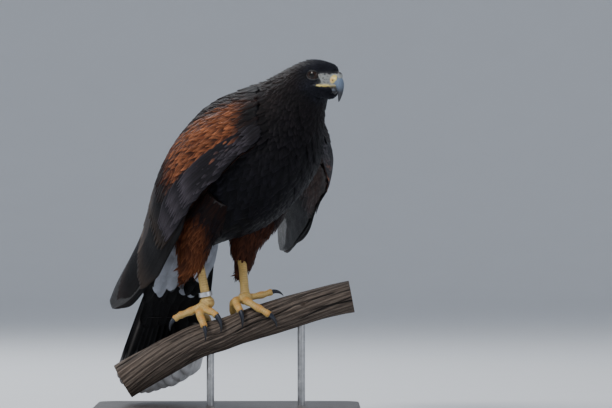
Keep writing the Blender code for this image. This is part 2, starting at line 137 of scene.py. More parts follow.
TAIL_ROOT = np.array([-61, 0, 133])
TAIL_TIP = np.array([-143, 0, -97])
TAIL_HALF_WIDTHS = (11, 66)
TAIL_ROUNDING = 32
TAIL_THICKNESS = 5

# The branch's middle line and radius, left to right, in the world
BRANCH = (
    (-124, ACROSS, 42.5, 21.4), (-109, ACROSS, 51, 21.4), (-72, ACROSS, 71.8, 20.6),
    (-38, ACROSS, 89, 19.8), (-10, ACROSS, 97, 19), (14, ACROSS, 105.4, 18.6), (58, ACROSS, 119.8, 19.6),
    (110, ACROSS, 134.8, 18.7), (148, ACROSS, 143, 19),
)

# Legs, in the bird's frame: the trousers' middle line and radius, the heel and the foot's joint
TROUSERS = {
    "right": (
        (30, -38, 150, 34), (2, -36, 122, 31), (-20, -33, 92, 24), (-28, -33, 66, 16), (-41, -33, 42, 4),
    ),
    "left": (
        (44, 38, 148, 30), (22, 33, 118, 27), (2, 30, 88, 20), (-3, 30, 68, 12.5), (-10, 31, 50, 3.5),
    ),
}
HEELS = {"right": (-24, -28, 87), "left": (-4, 28, 85)}
FEET = {"right": (-15, -17, 15), "left": (16, 16, 20)}

# Toes, as points on the branch: along it, degrees round it towards the breast side, height over the bark
TOES = {
    "right": {
        "inner": ((-19, 8, 16), (-11, 22, 13), (-5, 36, 10)),
        "middle": ((-24, 16, 14), (-24, 36, 10), (-23, 58, 8)),
        "outer": ((-32, 6, 17), (-41, 10, 17), (-48, 14, 16)),
        "back": ((-22, -14, 13), (-19, -40, 10), (-18, -62, 8)),
    },
    "left": {
        "inner": ((21, 12, 14), (21, 30, 10), (22, 46, 8)),
        "middle": ((33, 26, 11), (43, 56, 7.5), (52, 80, 6)),
        "outer": ((35, -6, 12), (50, -8, 10), (62, -10, 10)),
        "back": ((18, -16, 13), (14, -42, 10), (12, -64, 8)),
    },
}
TOE_RADII = (5.2, 4.6, 3.9)
TOE_START = 1.3
PALM_RADII = (9, 9, 8)
CLAW_LENGTH = {"inner": 22, "middle": 18, "outer": 15, "back": 24}
CLAW_CURL = {"inner": 72, "middle": 62, "outer": 78, "back": 52}
CLAW_RADIUS = {"inner": 3.3, "middle": 2.8, "outer": 2.5, "back": 3.4}
CLAW_GAP = 0.35
BAND_PLACE = 0.865
BAND_RADIUS = 8.4
BAND_WALL = 1
BAND_HEIGHT = 5.6


def through(values: Sequence, at: Array | float) -> Array:
    """Natural cubic spline through evenly numbered rows of values, read at fractional rows.

    Args:
        values: The rows, numbers or points.
        at: The fractional row numbers to read.

    Returns:
        One row of values for each number.
    """
    values = np.asarray(values, float)
    count = len(values)
    matrix = np.eye(count)
    right = np.zeros(values.shape)
    for row in range(1, count - 1):
        matrix[row, row - 1 : row + 2] = (1, 4, 1)
        right[row] = 6 * (values[row - 1] - 2 * values[row] + values[row + 1])
    bends = np.linalg.solve(matrix, right)
    at = np.clip(np.atleast_1d(np.asarray(at, float)), 0, count - 1)
    low = np.minimum(at.astype(int), count - 2)
    b = (at - low).reshape((-1,) + (1,) * (values.ndim - 1))
    a = 1 - b
    curve = ((a**3 - a) * bends[low] + (b**3 - b) * bends[low + 1]) / 6
    return a * values[low] + b * values[low + 1] + curve


def full_turn(count: int) -> Array:
    """Angles evenly spaced round a full turn."""
    return np.linspace(0, 2 * pi, count, endpoint=False)


def unit(vectors: Array) -> Array:
    """Vectors scaled to length one."""
    vectors = np.asarray(vectors, float)
    return vectors / np.maximum(np.linalg.norm(vectors, axis=-1, keepdims=True), 1e-9)


def world(points: Array) -> Array:
    """Points of the bird's frame as world millimetres."""
    return STANCE + np.asarray(points, float) @ np.array([FORWARD, LEFT, UP])


def ramp(value: Array, low: float, high: float) -> Array:
    """Smooth step: 0 below low, 1 above high, with a soft S between them."""
    share = np.clip((value - low) / (high - low), 0, 1)
    return share * share * (3 - 2 * share)


def hump(value: Array, centre: float, spread: float) -> Array:
    """Bell curve of height one."""
    return np.exp(-(((value - centre) / spread) ** 2))


def mixed(low: Array, high: Array, share: Array) -> Array:
    """Blend of two colours, or arrays of them, by an array of shares."""
    share = np.asarray(share, float)[..., None]
    return np.asarray(low, float) * (1 - share) + np.asarray(high, float) * share


def tube_frames(path: Array, hint: Array) -> Arrays:
    """Directions along a path, to its side and upwards of it, square to each other.

    Args:
        path: Points along the middle line.
        hint: The direction, or one for each point, that the upward one leans to.

    Returns:
        Travel, side and rise at each point.
    """
    travel = unit(np.gradient(path, axis=0))
    side = unit(np.cross(hint, travel))
    return travel, side, np.cross(travel, side)


@dataclass(frozen=True)
class Reading:
    """What a surface is at some of its places: points, outward directions and millimetres for each unit."""

    point: Array
    normal: Array
    along_scale: Array
    across_scale: Array


class SurfaceForm:
    """A grid of points read as a smooth surface by two shares, along it and across it."""

    def __init__(self, points: Array, wraps: bool, inside: Array, patch: tuple[float, ...]) -> None:
        """Works out the surface's directions, by differences between neighbouring points.

        Args:
            points: Rows by columns of points in the bird's frame; a round form's last column is its first.
            wraps: Whether the columns close into a ring.
            inside: Points on the inner side of the surface, to tell which way is out.
            patch: Left, bottom, right and top of the surface's place on the unwrap.
        """
        self.points, self.wraps, self.patch = points, wraps, patch
        rows, columns = points.shape[:2]
        along = np.gradient(points, 1 / (rows - 1), axis=0)
        if wraps:
            ring = points[:, :-1]
            across = (np.roll(ring, -1, 1) - np.roll(ring, 1, 1)) * (columns - 1) / 2
            across = np.concatenate([across, across[:, :1]], axis=1)
        else:
            across = np.gradient(points, 1 / (columns - 1), axis=1)
        normal = unit(np.cross(along, across))
        if float(np.sum(normal * (points - inside))) < 0:
            normal = -normal
        along_scale = np.linalg.norm(along, axis=-1, keepdims=True)
        across_scale = np.linalg.norm(across, axis=-1, keepdims=True)
        parts = [points, normal, unit(along), unit(across), along_scale, across_scale]
        self.table = np.concatenate(parts, axis=-1)

    def read(self, u: Array, v: Array) -> Reading:
        """Reads the surface between its grid's points, and straight on past its ends.

        Args:
            u: Shares along the surface.
            v: Shares across it, which go round where the surface is a ring.

        Returns:
            The reading, one row for each pair of shares.
        """
        rows, columns = self.points.shape[:2]
        held_u = np.clip(u, 0, 1)
        held_v = np.mod(v, 1) if self.wraps else np.clip(v, 0, 1)
        row, column = held_u * (rows - 1), held_v * (columns - 1)
        i = np.minimum(row.astype(int), rows - 2)
        j = np.minimum(column.astype(int), columns - 2)
        a, b = (row - i)[..., None], (column - j)[..., None]
        low = self.table[i, j] * (1 - b) + self.table[i, j + 1] * b
        high = self.table[i + 1, j] * (1 - b) + self.table[i + 1, j + 1] * b
        read = low * (1 - a) + high * a
        along, across = unit(read[..., 6:9]), unit(read[..., 9:12])
        point = read[..., :3] + along * read[..., 12:13] * (u - held_u)[..., None]
        if not self.wraps:
            point = point + across * read[..., 13:14] * (v - held_v)[..., None]
        return Reading(point, unit(read[..., 3:6]), read[..., 12], read[..., 13])

    def unwrap(self, u: Array, v: Array) -> Array:
        """Places on the unwrap: the two shares, scaled into the surface's own patch."""
        left, bottom, right, top = self.patch
        v = np.mod(v, 1) if self.wraps else np.clip(v, 0, 1)
        return np.stack([left + (right - left) * v, bottom + (top - bottom) * np.clip(u, 0, 1)], axis=-1)


@dataclass
class Roots:
    """Where feathers grow on a surface and what each is like; every field is an array with a row each."""

    u: Array
    v: Array
    turn: Array
    length: Array
    width: Array
    low: Array
    high: Array
    base: Array
    edge: Array
    centre: Array
    bend: Array = field(default_factory=lambda: np.zeros(0))
    tip: Array = field(default_factory=lambda: np.zeros(0))
    tip_from: Array = field(default_factory=lambda: np.zeros(0))
    end_u: Array = field(default_factory=lambda: np.zeros(0))
    end_v: Array = field(default_factory=lambda: np.zeros(0))

    def kept(self, mask: Array) -> "Roots":
        """The feathers that a mask keeps."""
        count = len(self.u)
        values = {name: value[mask] if len(value) == count else value for name, value in vars(self).items()}
        return Roots(**values)


@dataclass(frozen=True)
class VaneShape:
    """A kind of feather: its grid, and how its width runs from root to tip.

    The half width is the full one times a rise from the root, ramp(t / rise), and a fall to tip_width
    at the end. The tip is rounded by holding back the edges by drop times the width, as |s| squared.
    """

    rows: int
    columns: int
    rise: float = 0.3
    root_width: float = 0.45
    tip_width: float = 0.5
    fall_from: float = 0.62
    drop: float = 0.3
    camber: float = 0.1
    curl: float = 0.0
    edge_from: float = 0.55
    shaft: float = 0.5

    def half_width(self, t: Array) -> Array:
        """Half width at each share of the length, for a feather of full width one."""
        rise = self.root_width + (1 - self.root_width) * ramp(t, 0, self.rise)
        fall = 1 - (1 - self.tip_width) * ramp(t, self.fall_from, 1.02) ** 1.4
        return 0.5 * rise * fall


CONTOUR = VaneShape(rows=7, columns=4)
SMALL = VaneShape(rows=4, columns=2, root_width=0.6, tip_width=0.42, drop=0.25)
POINTED = VaneShape(rows=8, columns=6, tip_width=0.34, fall_from=0.5, drop=0.6, edge_from=0.5, shaft=0.7)
POINTED_SMALL = VaneShape(rows=7, columns=4, tip_width=0.34, fall_from=0.5, drop=0.55, edge_from=0.45,
                          shaft=0.8)
ROUNDED = VaneShape(rows=8, columns=6, tip_width=0.78, fall_from=0.8, drop=0.3, edge_from=0.7, shaft=0.35)
LOOSE = VaneShape(rows=9, columns=2, root_width=0.5, tip_width=0.2, fall_from=0.3, drop=0.5, curl=0.06)
COVERT = VaneShape(rows=8, columns=6, tip_width=0.6, fall_from=0.7, drop=0.3, edge_from=0.6)
RECTRIX = VaneShape(rows=22, columns=8, rise=0.2, root_width=0.6, tip_width=0.86, fall_from=0.9, drop=0.3,
                    camber=0.04, edge_from=0.9, shaft=0.6)
QUILL = VaneShape(rows=22, columns=8, rise=0.2, root_width=0.5, tip_width=0.45, fall_from=0.72, drop=0.55,
                  camber=0.06, edge_from=0.72, shaft=0.7)


class Coat:
    """One mesh of many feathers, each a bent grid over the surface that it grows from."""

    def __init__(self, name: str, slot: str) -> None:
        """Starts an empty coat piece.

        Args:
            name: The piece's name.
            slot: The name of a material slot; kept, but not used.
        """
        self.name, self.slot = name, slot
        self.points: list[Array] = []
        self.faces: list[Array] = []
        self.colours: list[Array] = []
        self.vane_places: list[Array] = []
        self.patch_places: list[Array] = []
        self.count = 0

    def grow(self, form: SurfaceForm, roots: Roots, shape: VaneShape) -> None:
        """Adds a feather for each root.

        The middle line steps along the surface in the root's direction, so that it bends as the body
        does. Its height over the surface goes from low to high with the share of its length, t, which
        lays each feather over the roots of the next. The vane spreads to both sides by the shape's half
        width times s, from -1 to 1, and sinks at its edges by camber times s squared.

        Args:
            form: The surface.
            roots: The feathers' roots.
            shape: The kind of feather.
        """
        number = len(roots.u)
        if number == 0:
            return
        t = np.linspace(0, 1, shape.rows + 1)
        s = np.linspace(-1, 1, shape.columns + 1)
        half = shape.half_width(t)
        point, normal = self.middle_lines(form, roots, t)
        height = roots.low[:, None] + (roots.high - roots.low)[:, None] * t**0.9
        height = height + roots.length[:, None] * shape.curl * t**2
        centre = point + normal * height[..., None]
        lie = unit(np.gradient(centre, axis=1))
        side = unit(np.cross(normal, lie))
        width = roots.width[:, None, None]
        spread = width * half[None, :, None] * s[None, None]
        sink = shape.camber * width * (s**2)[None, None] * (0.4 + 0.6 * t)[None, :, None]
        back = shape.drop * width * (s**2)[None, None] * ramp(t, 0.45, 1)[None, :, None]
        grid = (
            centre[:, :, None]
            + side[:, :, None] * spread[..., None]
            - normal[:, :, None] * sink[..., None]
            - lie[:, :, None] * back[..., None]
        )
        self.add(world(grid), self.paint(roots, t, s, shape), roots, form, t, s, half)

    def middle_lines(self, form: SurfaceForm, roots: Roots, t: Array) -> Arrays:
        """Walks from each root along the surface, or straight to the place where the feather ends.

        Args:
            form: The surface.
            roots: The feathers' roots.
            t: The shares of the length to stop at, evenly spaced.

        Returns:
            Points on the surface and its normals there, by feather and by row.
        """
        u, v = roots.u.copy(), roots.v.copy()
        bend = roots.bend if len(roots.bend) else np.zeros(len(u))
        step = roots.length / (len(t) - 1)
        points, normals = [], []
        for share in t:
            if len(roots.end_u):
                u = roots.u + (roots.end_u - roots.u) * share
                v = roots.v + (roots.end_v - roots.v) * share + bend * share * (1 - share)
            here = form.read(u, v)
            points.append(here.point)
            normals.append(here.normal)
            turn = roots.turn + bend * share
            u = u + step * np.cos(turn) / here.along_scale
            v = v + step * np.sin(turn) / here.across_scale
        return np.stack(points, axis=1), np.stack(normals, axis=1)

    def paint(self, roots: Roots, t: Array, s: Array, shape: VaneShape) -> Array:
        """Colours of the vanes: edges and tips in one colour, shafts in another, over the base.

        Args:
            roots: The feathers, with their colours.
            t: Shares along them.
            s: Places across them.
            shape: The kind of feather.

        Returns:
            One colour for each point.
        """
        reach = np.maximum(np.abs(s)[None] * (0.35 + 0.65 * t[:, None]), t[:, None])
        rim = ramp(reach, shape.edge_from, 1)[None]
        shaft = (shape.shaft * np.exp(-((s / 0.16) ** 2)))[None, None] * np.ones(len(t))[None, :, None]
        colour = mixed(roots.base[:, None, None], roots.edge[:, None, None], rim)
        colour = mixed(colour, roots.centre[:, None, None], shaft * (1 - rim))
        if len(roots.tip):
            start = roots.tip_from[:, None, None]
            last = ramp(t[None, :, None] + 0.02 * s[None, None] ** 2, start, start + 0.05)
            colour = mixed(colour, roots.tip[:, None, None], last)
        return colour

    def add(self, grid: Array, colour: Array, roots: Roots, form: SurfaceForm, t: Array, s: Array,
            half: Array) -> None:
        """Keeps a batch of feathers' points, faces, colours and map places."""
        number, rows, columns = grid.shape[:3]
        index = self.count + np.arange(number * rows * columns).reshape(number, rows, columns)
        corners = (index[:, :-1, :-1], index[:, 1:, :-1], index[:, 1:, 1:], index[:, :-1, 1:])
        self.faces.append(np.stack(corners, axis=-1).reshape(-1, 4))
        self.points.append(grid.reshape(-1, 3))
        self.colours.append(np.broadcast_to(colour, grid.shape).reshape(-1, 3))
        shape = (number, rows, columns)
        across = roots.width[:, None, None] * half[None, :, None] * s[None, None]
        along = np.broadcast_to(roots.length[:, None, None] * t[None, :, None], shape)
        self.vane_places.append(np.stack([across, along], axis=-1).reshape(-1, 2))
        middle = form.unwrap(roots.u, roots.v)[:, None, None]
        offset = np.stack(np.broadcast_arrays(s[None, :] * 0.5, t[:, None] - 0.5), axis=-1)
        self.patch_places.append((middle + offset[None] * PATCH_SIZE).reshape(-1, 2))
        self.count += number * rows * columns

    def build(self, surface: Material, thickness: float = 0.0) -> Object:
        """Makes the piece.

        Args:
            surface: Its material.
            thickness: The vanes' thickness in millimetres, or none for a single sheet.

        Returns:
            The object, riding on the frame's only body.
        """
        mesh = mesh_of(self.name, np.concatenate(self.points), np.concatenate(self.faces))
        paint_points(mesh, np.concatenate(self.colours))
        place_map(mesh, COAT_MAP, np.concatenate(self.patch_places))
        place_map(mesh, VANE_MAP, np.concatenate(self.vane_places))
        made = piece(self.name, mesh, surface)
        if thickness:
            wall = made.modifiers.new("thickness", "SOLIDIFY")
            wall.thickness, wall.offset = thickness * MM, -1
        return made


def mesh_of(name: str, points: Array, faces: Array) -> Mesh:
    """A smooth mesh from world points in millimetres and rows of four corners.

    Args:
        name: The mesh's name.
        points: The points.
        faces: Four point numbers for each face.

    Returns:
        The mesh, in metres.
    """
    mesh = bpy.data.meshes.new(name)
    mesh.vertices.add(len(points))
    mesh.vertices.foreach_set("co", (np.asarray(points) * MM).astype(np.float32).ravel())
    mesh.loops.add(faces.size)
    mesh.loops.foreach_set("vertex_index", faces.astype(np.int32).ravel())
    mesh.polygons.add(len(faces))
    mesh.polygons.foreach_set("loop_start", np.arange(0, faces.size, 4, dtype=np.int32))
    mesh.update(calc_edges=True)
    mesh.shade_smooth()
    return mesh


def paint_points(mesh: Mesh, colours: Array) -> None:
    """Gives each point its pigment."""
    layer = mesh.color_attributes.new(PIGMENT, "FLOAT_COLOR", "POINT")
    full = np.ones((len(colours), 4), np.float32)
    full[:, :3] = np.clip(colours, 0, 1)
    layer.data.foreach_set("color", full.ravel())


def place_map(mesh: Mesh, name: str, places: Array) -> None:
    """Gives a mesh a UV map from one place for each point."""
    corners = np.empty(len(mesh.loops), np.int32)
    mesh.loops.foreach_get("vertex_index", corners)
    layer = mesh.uv_layers.new(name=name)
    layer.uv.foreach_set("vector", places[corners].astype(np.float32).ravel())


def shown(name: str, data: bpy.types.ID) -> Object:
    """A new object in the scene."""
    made = bpy.data.objects.new(name, data)
    bpy.context.scene.collection.objects.link(made)
    return made


def piece(name: str, mesh: Mesh, surface: Material) -> Object:
    """Puts a mesh into the scene as a piece that rides on the only body.

    Args:
        name: The piece's name.
        mesh: Its mesh, in place.
        surface: Its material.

    Returns:
        The object.
    """
    made = shown(name, mesh)
    mesh.materials.append(surface)
    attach(made, "root")
    LOG.info("%s: %d points, %d faces", name, len(mesh.vertices), len(mesh.polygons))
    return made


def tube_faces(rows: int, columns: int, closed: bool = True) -> Array:
    """Faces of a grid of points, rows by columns, whose columns close into a ring where closed."""
    index = np.arange(rows * columns).reshape(rows, columns)
    after = np.roll(index, -1, 1) if closed else index[:, 1:]
    index = index if closed else index[:, :-1]
    corners = (index[:-1], after[:-1], after[1:], index[1:])
    return np.stack(corners, axis=-1).reshape(-1, 4)


def capped(rings: Array, rounds: int = 4) -> Array:
    """Rings with both ends drawn together to a small round hole, which is closed by its own quads.

    Each end's ring is repeated, drawn in towards its middle by the cosine of a growing angle.

    Args:
        rings: Rows by columns of points.
        rounds: How many rows close an end.

    Returns:
        The rings with those rows added at both ends.
    """
    share = 1 - np.cos(np.linspace(0, pi / 2, rounds + 1)[1:])
    share[-1] = 1 - 1e-4
    ends = []
    for ring in (rings[0], rings[-1]):
        middle = ring.mean(axis=0)
        ends.append(ring[None] + (middle - ring)[None] * share[:, None, None])
    return np.concatenate([ends[0][::-1], rings, ends[1]])


def held_ends(values: Array) -> Array:
    """Values of rings, with the end rings' repeated for the rows that capped adds."""
    return np.concatenate([values[:1].repeat(4, 0), values, values[-1:].repeat(4, 0)])


def outward(points: Array, faces: Array) -> Array:
    """Faces of a closed mesh, turned round if it is inside out, which its signed volume tells."""
    a, b, c, d = (points[faces[:, k]] for k in range(4))
    middle = points.mean(axis=0)
    volume = np.sum(np.cross(b - a, c - a) * (a - middle)) + np.sum(np.cross(c - a, d - a) * (a - middle))
    return faces if volume > 0 else faces[:, ::-1]


def closed_tube(rings: Array) -> Arrays:
    """Points and outward faces of closed rings."""
    points = rings.reshape(-1, 3)
    return points, outward(points, tube_faces(*rings.shape[:2]))


def hoop_faces(rows: int, columns: int) -> Array:
    """Faces of a grid of points whose rows and columns both close into rings."""
    index = np.arange(rows * columns).reshape(rows, columns)
    right = np.roll(index, -1, 1)
    corners = (index, right, np.roll(right, -1, 0), np.roll(index, -1, 0))
    return np.stack(corners, axis=-1).reshape(-1, 4)


def wing_sheet(along: Array, across: Array) -> Arrays:
    """A wing's outer surface with its side positive, and the way out of it.

    Straight lines join the lower edge's spline to the upper edge's, and a parabola of the bulge's height
    pushes them out.

    Args:
        along: Shares from the wrist to the tip.
        across: Shares from the lower edge to the upper one.

    Returns:
        Rows by columns of points, and one outward direction for each row.
    """
    rows = along * (len(WING_LOWER) - 1)
    low, high = through(WING_LOWER, rows), through(WING_UPPER, rows)
    length = unit(np.gradient((low + high) / 2, axis=0))
    away = unit(np.cross(high - low, length))
    away *= np.sign(away[:, 1:2])
    share = across[None, :, None]
    bulge = through(WING_BULGE, rows)[:, None, None] * 4 * share * (1 - share)
    return low[:, None] * (1 - share) + high[:, None] * share + away[:, None] * bulge, away


def held_out(points: Array) -> Array:
    """A left wing's points turned about its shoulder, up and then out from the body."""
    c, s = cos(LEFT_LIFT), sin(LEFT_LIFT)
    lifted = (points - LEFT_PIVOT) @ np.array([[c, 0, -s], [0, 1, 0], [s, 0, c]])
    c, s = cos(LEFT_SPLAY), sin(LEFT_SPLAY)
    return lifted @ np.array([[c, -s, 0], [s, c, 0], [0, 0, 1]]) + LEFT_PIVOT


def mirrored(points: Array) -> Array:
    """Left wing's points as the right wing's."""
    return points * np.array([1, -1, 1])


def head_places(points: Array) -> Arrays:
    """How far points are ahead of the head's centre, out to a side and above it."""
    from_centre = points - HEAD_CENTRE
    return from_centre[..., 0], np.abs(points[..., 1]), from_centre[..., 2]


def lore_share(points: Array) -> Array:
    """How bare the face is: one between the eye and the bill, fading to none at the brow and the chin."""
    ahead, _, up = head_places(points)
    ragged = 1.1 * np.sin(1.7 * ahead + 0.9 * up) + 0.7 * np.sin(3.1 * up - 1.1 * ahead)
    upper = 1 - ramp(up + 0.4 * ragged, -3.6, 1.8)
    lower = ramp(up, -19, -15.5)
    return ramp(ahead + ragged, 13.5, 21.5) * upper * lower


def gape_share(points: Array) -> Array:
    """How near a place is to the mouth's yellow lip, which runs back from the bill to under the eye."""
    ahead, _, up = head_places(points)
    line = -15.6 + 0.02 * (ahead - 20)
    return hump(up, line, 1.45) * ramp(ahead, 9, 16) * (1 - 0.75 * ramp(ahead, 24, 30))


@dataclass
class BodyForm:
    """Trunk, neck and head as one round form, read from the bill, 0, to the tail's root, 1."""

    rows: int = 420
    columns: int = 240
    depths: tuple[Pair, ...] = (
        (0, 5), (5, 6), (7, 5), (9, 3.4), (10.5, 2.6), (12, 1.6), (13, 0.5),
    )

    def coat_depth(self, stations: Array) -> Array:
        """How deep the coat is at each station."""
        places, depths = zip(*self.depths)
        return np.interp(stations, places, depths)

    def rings(self, shares: Array, turns: Array) -> Array:
        """Rings of the form: half ellipses for back and breast, square to the middle line's spline.

        Each of the head's forms then pushes its sides by a bell curve of the place ahead and up.

        Args:
            shares: Shares along the body, from the bill.
            turns: Angles round it, from the left side by way of the back.

        Returns:
            Rows by columns of points.
        """
        at = LAST_STATION * (1 - shares)
        read = through(BODY_STATIONS, at)
        ahead = through(BODY_STATIONS, at + 0.05) - through(BODY_STATIONS, at - 0.05)
        travel = unit(np.column_stack([ahead[:, 0], np.zeros(len(at)), ahead[:, 1]]))
        side = SIDE
        back = np.cross(travel, side)
        centre = np.column_stack([read[:, 0], np.zeros(len(at)), read[:, 1]])
        depth = np.where(np.sin(turns)[None] > 0, read[:, 3:4], read[:, 4:5])
        under = np.zeros((len(at), len(turns)))
        for _ in range(2):
            half = read[:, 2:3] - under
            rings = (
                centre[:, None]
                + side * (half * np.cos(turns)[None])[..., None]
                + back[:, None] * ((depth - under) * np.sin(turns)[None])[..., None]
            )
            for form in (BROW, EYE_HOLLOW, CHEEK):
                rings = self.pushed(rings, form)
            bare = np.maximum(lore_share(rings), 0.8 * gape_share(rings))
            under = self.coat_depth(at)[:, None] * (1 - bare) + 0.3 * bare
        return rings

    @staticmethod
    def pushed(points: Array, form: tuple[float, float, float, float, float]) -> Array:
        """Sides of the head pushed out, or in, round one place."""
        ahead, up, spread_ahead, spread_up, height = form
        from_centre = points - HEAD_CENTRE
        weight = hump(from_centre[..., 0], ahead, spread_ahead) * hump(from_centre[..., 2], up, spread_up)
        moved = points.copy()
        moved[..., 1] += np.sign(points[..., 1]) * height * weight
        return moved

    def surface(self) -> SurfaceForm:
        """The skin's surface, as the feathers read it."""
        rings = self.rings(np.linspace(0, 1, self.rows), np.linspace(0, 2 * pi, self.columns + 1))
        inside = rings[:, :-1].mean(axis=1)[:, None]
        return SurfaceForm(rings, True, inside, (0.02, 0.02, 0.50, 0.98))


@dataclass
class WingForm:
    """One wing as a thin curved slab, with an outer and an inner surface."""

    side: int
    pose: Callable[[Array], Array]
    rows: int = 150
    columns: int = 50
    inset_wrist: float = 3.2
    inset_tip: float = 1.3

    def slab(self, along: Array, across: Array) -> Arrays:
        """Outer and inner surface of the skin, each drawn in from the coat's."""
        outer, away = wing_sheet(along, across)
        shrink = along[:, None] ** 0.6
        thickness = WING_THICKNESS[0] + (WING_THICKNESS[1] - WING_THICKNESS[0]) * shrink
        inset = self.inset_wrist + (self.inset_tip - self.inset_wrist) * shrink
        round_off = 0.3 + 0.7 * np.sin(pi * np.clip(across, 0, 1))[None] ** 0.5
        top = outer - away[:, None] * (inset * np.ones_like(round_off))[..., None]
        under = outer - away[:, None] * (inset + (thickness - 2 * inset) * round_off)[..., None]
        return self.placed(top), self.placed(under)

    def placed(self, points: Array) -> Array:
        """Points of the left wing as this wing's, in the bird's frame."""
        turned = self.pose(points)
        return mirrored(turned) if self.side < 0 else turned

    def surfaces(self) -> tuple[SurfaceForm, SurfaceForm]:
        """Outer and inner surface, as the feathers read them."""
        along, across = np.linspace(0, 1, self.rows), np.linspace(0, 1, self.columns)
        top, under = self.slab(along, across)
        left = 0.52 if self.side < 0 else 0.76
        outer = SurfaceForm(top, False, under, (left, 0.02, left + 0.11, 0.58))
        return outer, SurfaceForm(under, False, top, (left + 0.12, 0.02, left + 0.23, 0.58))

    def shell(self) -> Array:
        """Closed rings of the skin, rounded at the wrist and the tip."""
        along, across = np.linspace(0, 1, 60), np.linspace(0.03, 0.97, 22)
        top, under = self.slab(along, across)
        return capped(np.concatenate([top, under[:, ::-1]], axis=1))


@dataclass
class TailForm:
    """The fanned tail, arched across, with the swelling of the coverts under its root."""

    rows: int = 120
    columns: int = 60

    def sheet(self, share: Array, across: Array, lowered: float, swollen: float) -> Arrays:
        """A sheet of the tail: a fan round its root whose edges are held back as it widens.

        Args:
            share: Shares of its length.
            across: Places across it, from -1 to 1.
            lowered: How far the sheet lies under the upper side.
            swollen: How much of the coverts' swelling it takes.

        Returns:
            Rows by columns of points, and the direction of the back.
        """
        length = unit(TAIL_TIP - TAIL_ROOT)
        side = SIDE
        back = np.cross(side, length)
        back *= np.sign(-back[0])
        half = TAIL_HALF_WIDTHS[0] + (TAIL_HALF_WIDTHS[1] - TAIL_HALF_WIDTHS[0]) * share**0.5
        whole = np.linalg.norm(TAIL_TIP - TAIL_ROOT)
        reach = whole * share[:, None] - TAIL_ROUNDING * across[None] ** 2 * share[:, None] ** 3
        swelling = 20 * np.clip(1 - share / 0.55, 0, 1) * np.clip(share / 0.18, 0, 1)
        rounded = np.sqrt(np.clip(1 - across**2, 0, 1))
        drop = 9 * across[None] ** 2 + lowered + swollen * swelling[:, None] * rounded[None]
        points = (
            TAIL_ROOT
            + length * reach[..., None]
            + side * (half[:, None] * across[None])[..., None]
            - back * drop[..., None]
        )
        return points, back

    def surfaces(self) -> tuple[SurfaceForm, SurfaceForm, SurfaceForm]:
        """Upper surface, under surface and the sheet that the tail feathers lie in."""
        share, across = np.linspace(0, 1, self.rows), np.linspace(-1, 1, self.columns)
        top, back = self.sheet(share, across, 1, 0)
        under, _ = self.sheet(share, across, TAIL_THICKNESS - 1, 0.8)
        middle, _ = self.sheet(share, across, TAIL_THICKNESS / 2, 0)
        upper_form = SurfaceForm(top, False, top - back, (0.52, 0.62, 0.64, 0.98))
        under_form = SurfaceForm(under, False, under + back, (0.65, 0.62, 0.77, 0.98))
        return upper_form, under_form, SurfaceForm(middle, False, middle - back, (0.78, 0.80, 0.98, 0.98))

    def shell(self) -> Array:
        """Closed rings of the tail's skin, shorter than its feathers."""
        share, across = np.linspace(0, 0.6, 26), np.linspace(-0.92, 0.92, 20)
        top, _ = self.sheet(share, across, 1.4, 0)
        under, _ = self.sheet(share, across, TAIL_THICKNESS - 1.4, 0.75)
        return capped(np.concatenate([top, under[:, ::-1]], axis=1), 3)


@dataclass
class TrouserForm:
    """The feathered thigh and shin of one leg, a round form that tapers to its hanging tip."""

    name: str
    inset: float = 3.6

    def rings(self, shares: Array, turns: Array) -> Array:
        """Rings, a little narrower than deep, square to the middle line's spline."""
        read = through(TROUSERS[self.name], shares * 4)
        _, side, rise = tube_frames(read[:, :3], np.array([1, 0, 0.2]))
        radius = np.maximum(read[:, 3] - self.inset, 0.45 * read[:, 3])[:, None, None]
        wide = side[:, None] * np.cos(turns)[None, :, None] * 0.88 * radius
        return read[:, None, :3] + wide + rise[:, None] * np.sin(turns)[None, :, None] * radius

    def surface(self) -> SurfaceForm:
        """The skin's surface, as the feathers read it."""
        rings = self.rings(np.linspace(0, 1, 120), np.linspace(0, 2 * pi, 81))
        bottom = 0.61 if self.name == "right" else 0.70
        inside = rings[:, :-1].mean(axis=1)[:, None]
        return SurfaceForm(rings, True, inside, (0.78, bottom, 0.98, bottom + 0.08))

    def shell(self) -> Array:
        """Closed rings of the skin."""
        return capped(self.rings(np.linspace(0, 1, 30), full_turn(36)))


def branch_at(x: float) -> tuple[Array, float, Array, Array]:
    """The branch where it passes x: its middle point, radius, and front and top directions."""
    rows = np.linspace(0, len(BRANCH) - 1, 200)
    at = np.interp(x, through(BRANCH, rows)[:, 0], rows)
    here = through(BRANCH, at)[0]
    ahead = unit(through(BRANCH, at + 0.05)[0, :3] - through(BRANCH, at - 0.05)[0, :3])
    front = FRONT
    top = np.cross(front, ahead)
    return here[:3], float(here[3]), front, top * np.sign(top[2])


def on_branch(x: float, degrees: float, height: float) -> Array:
    """A point over the bark: along the branch, degrees round it from the top to the front, and out."""
    centre, radius, front, top = branch_at(x)
    return centre + (radius + height) * (front * sin(radians(degrees)) + top * cos(radians(degrees)))


def toe_path(leg: str, toe: str, rows: int) -> Array:
    """A toe's middle line in the world: a spline from the foot's joint over its points on the branch."""
    joint = world(FEET[leg])
    points = np.array([joint] + [on_branch(*point) for point in TOES[leg][toe]])
    points[0] += unit(points[1] - joint) * TOE_START
    return through(points, np.linspace(0, 3, rows))


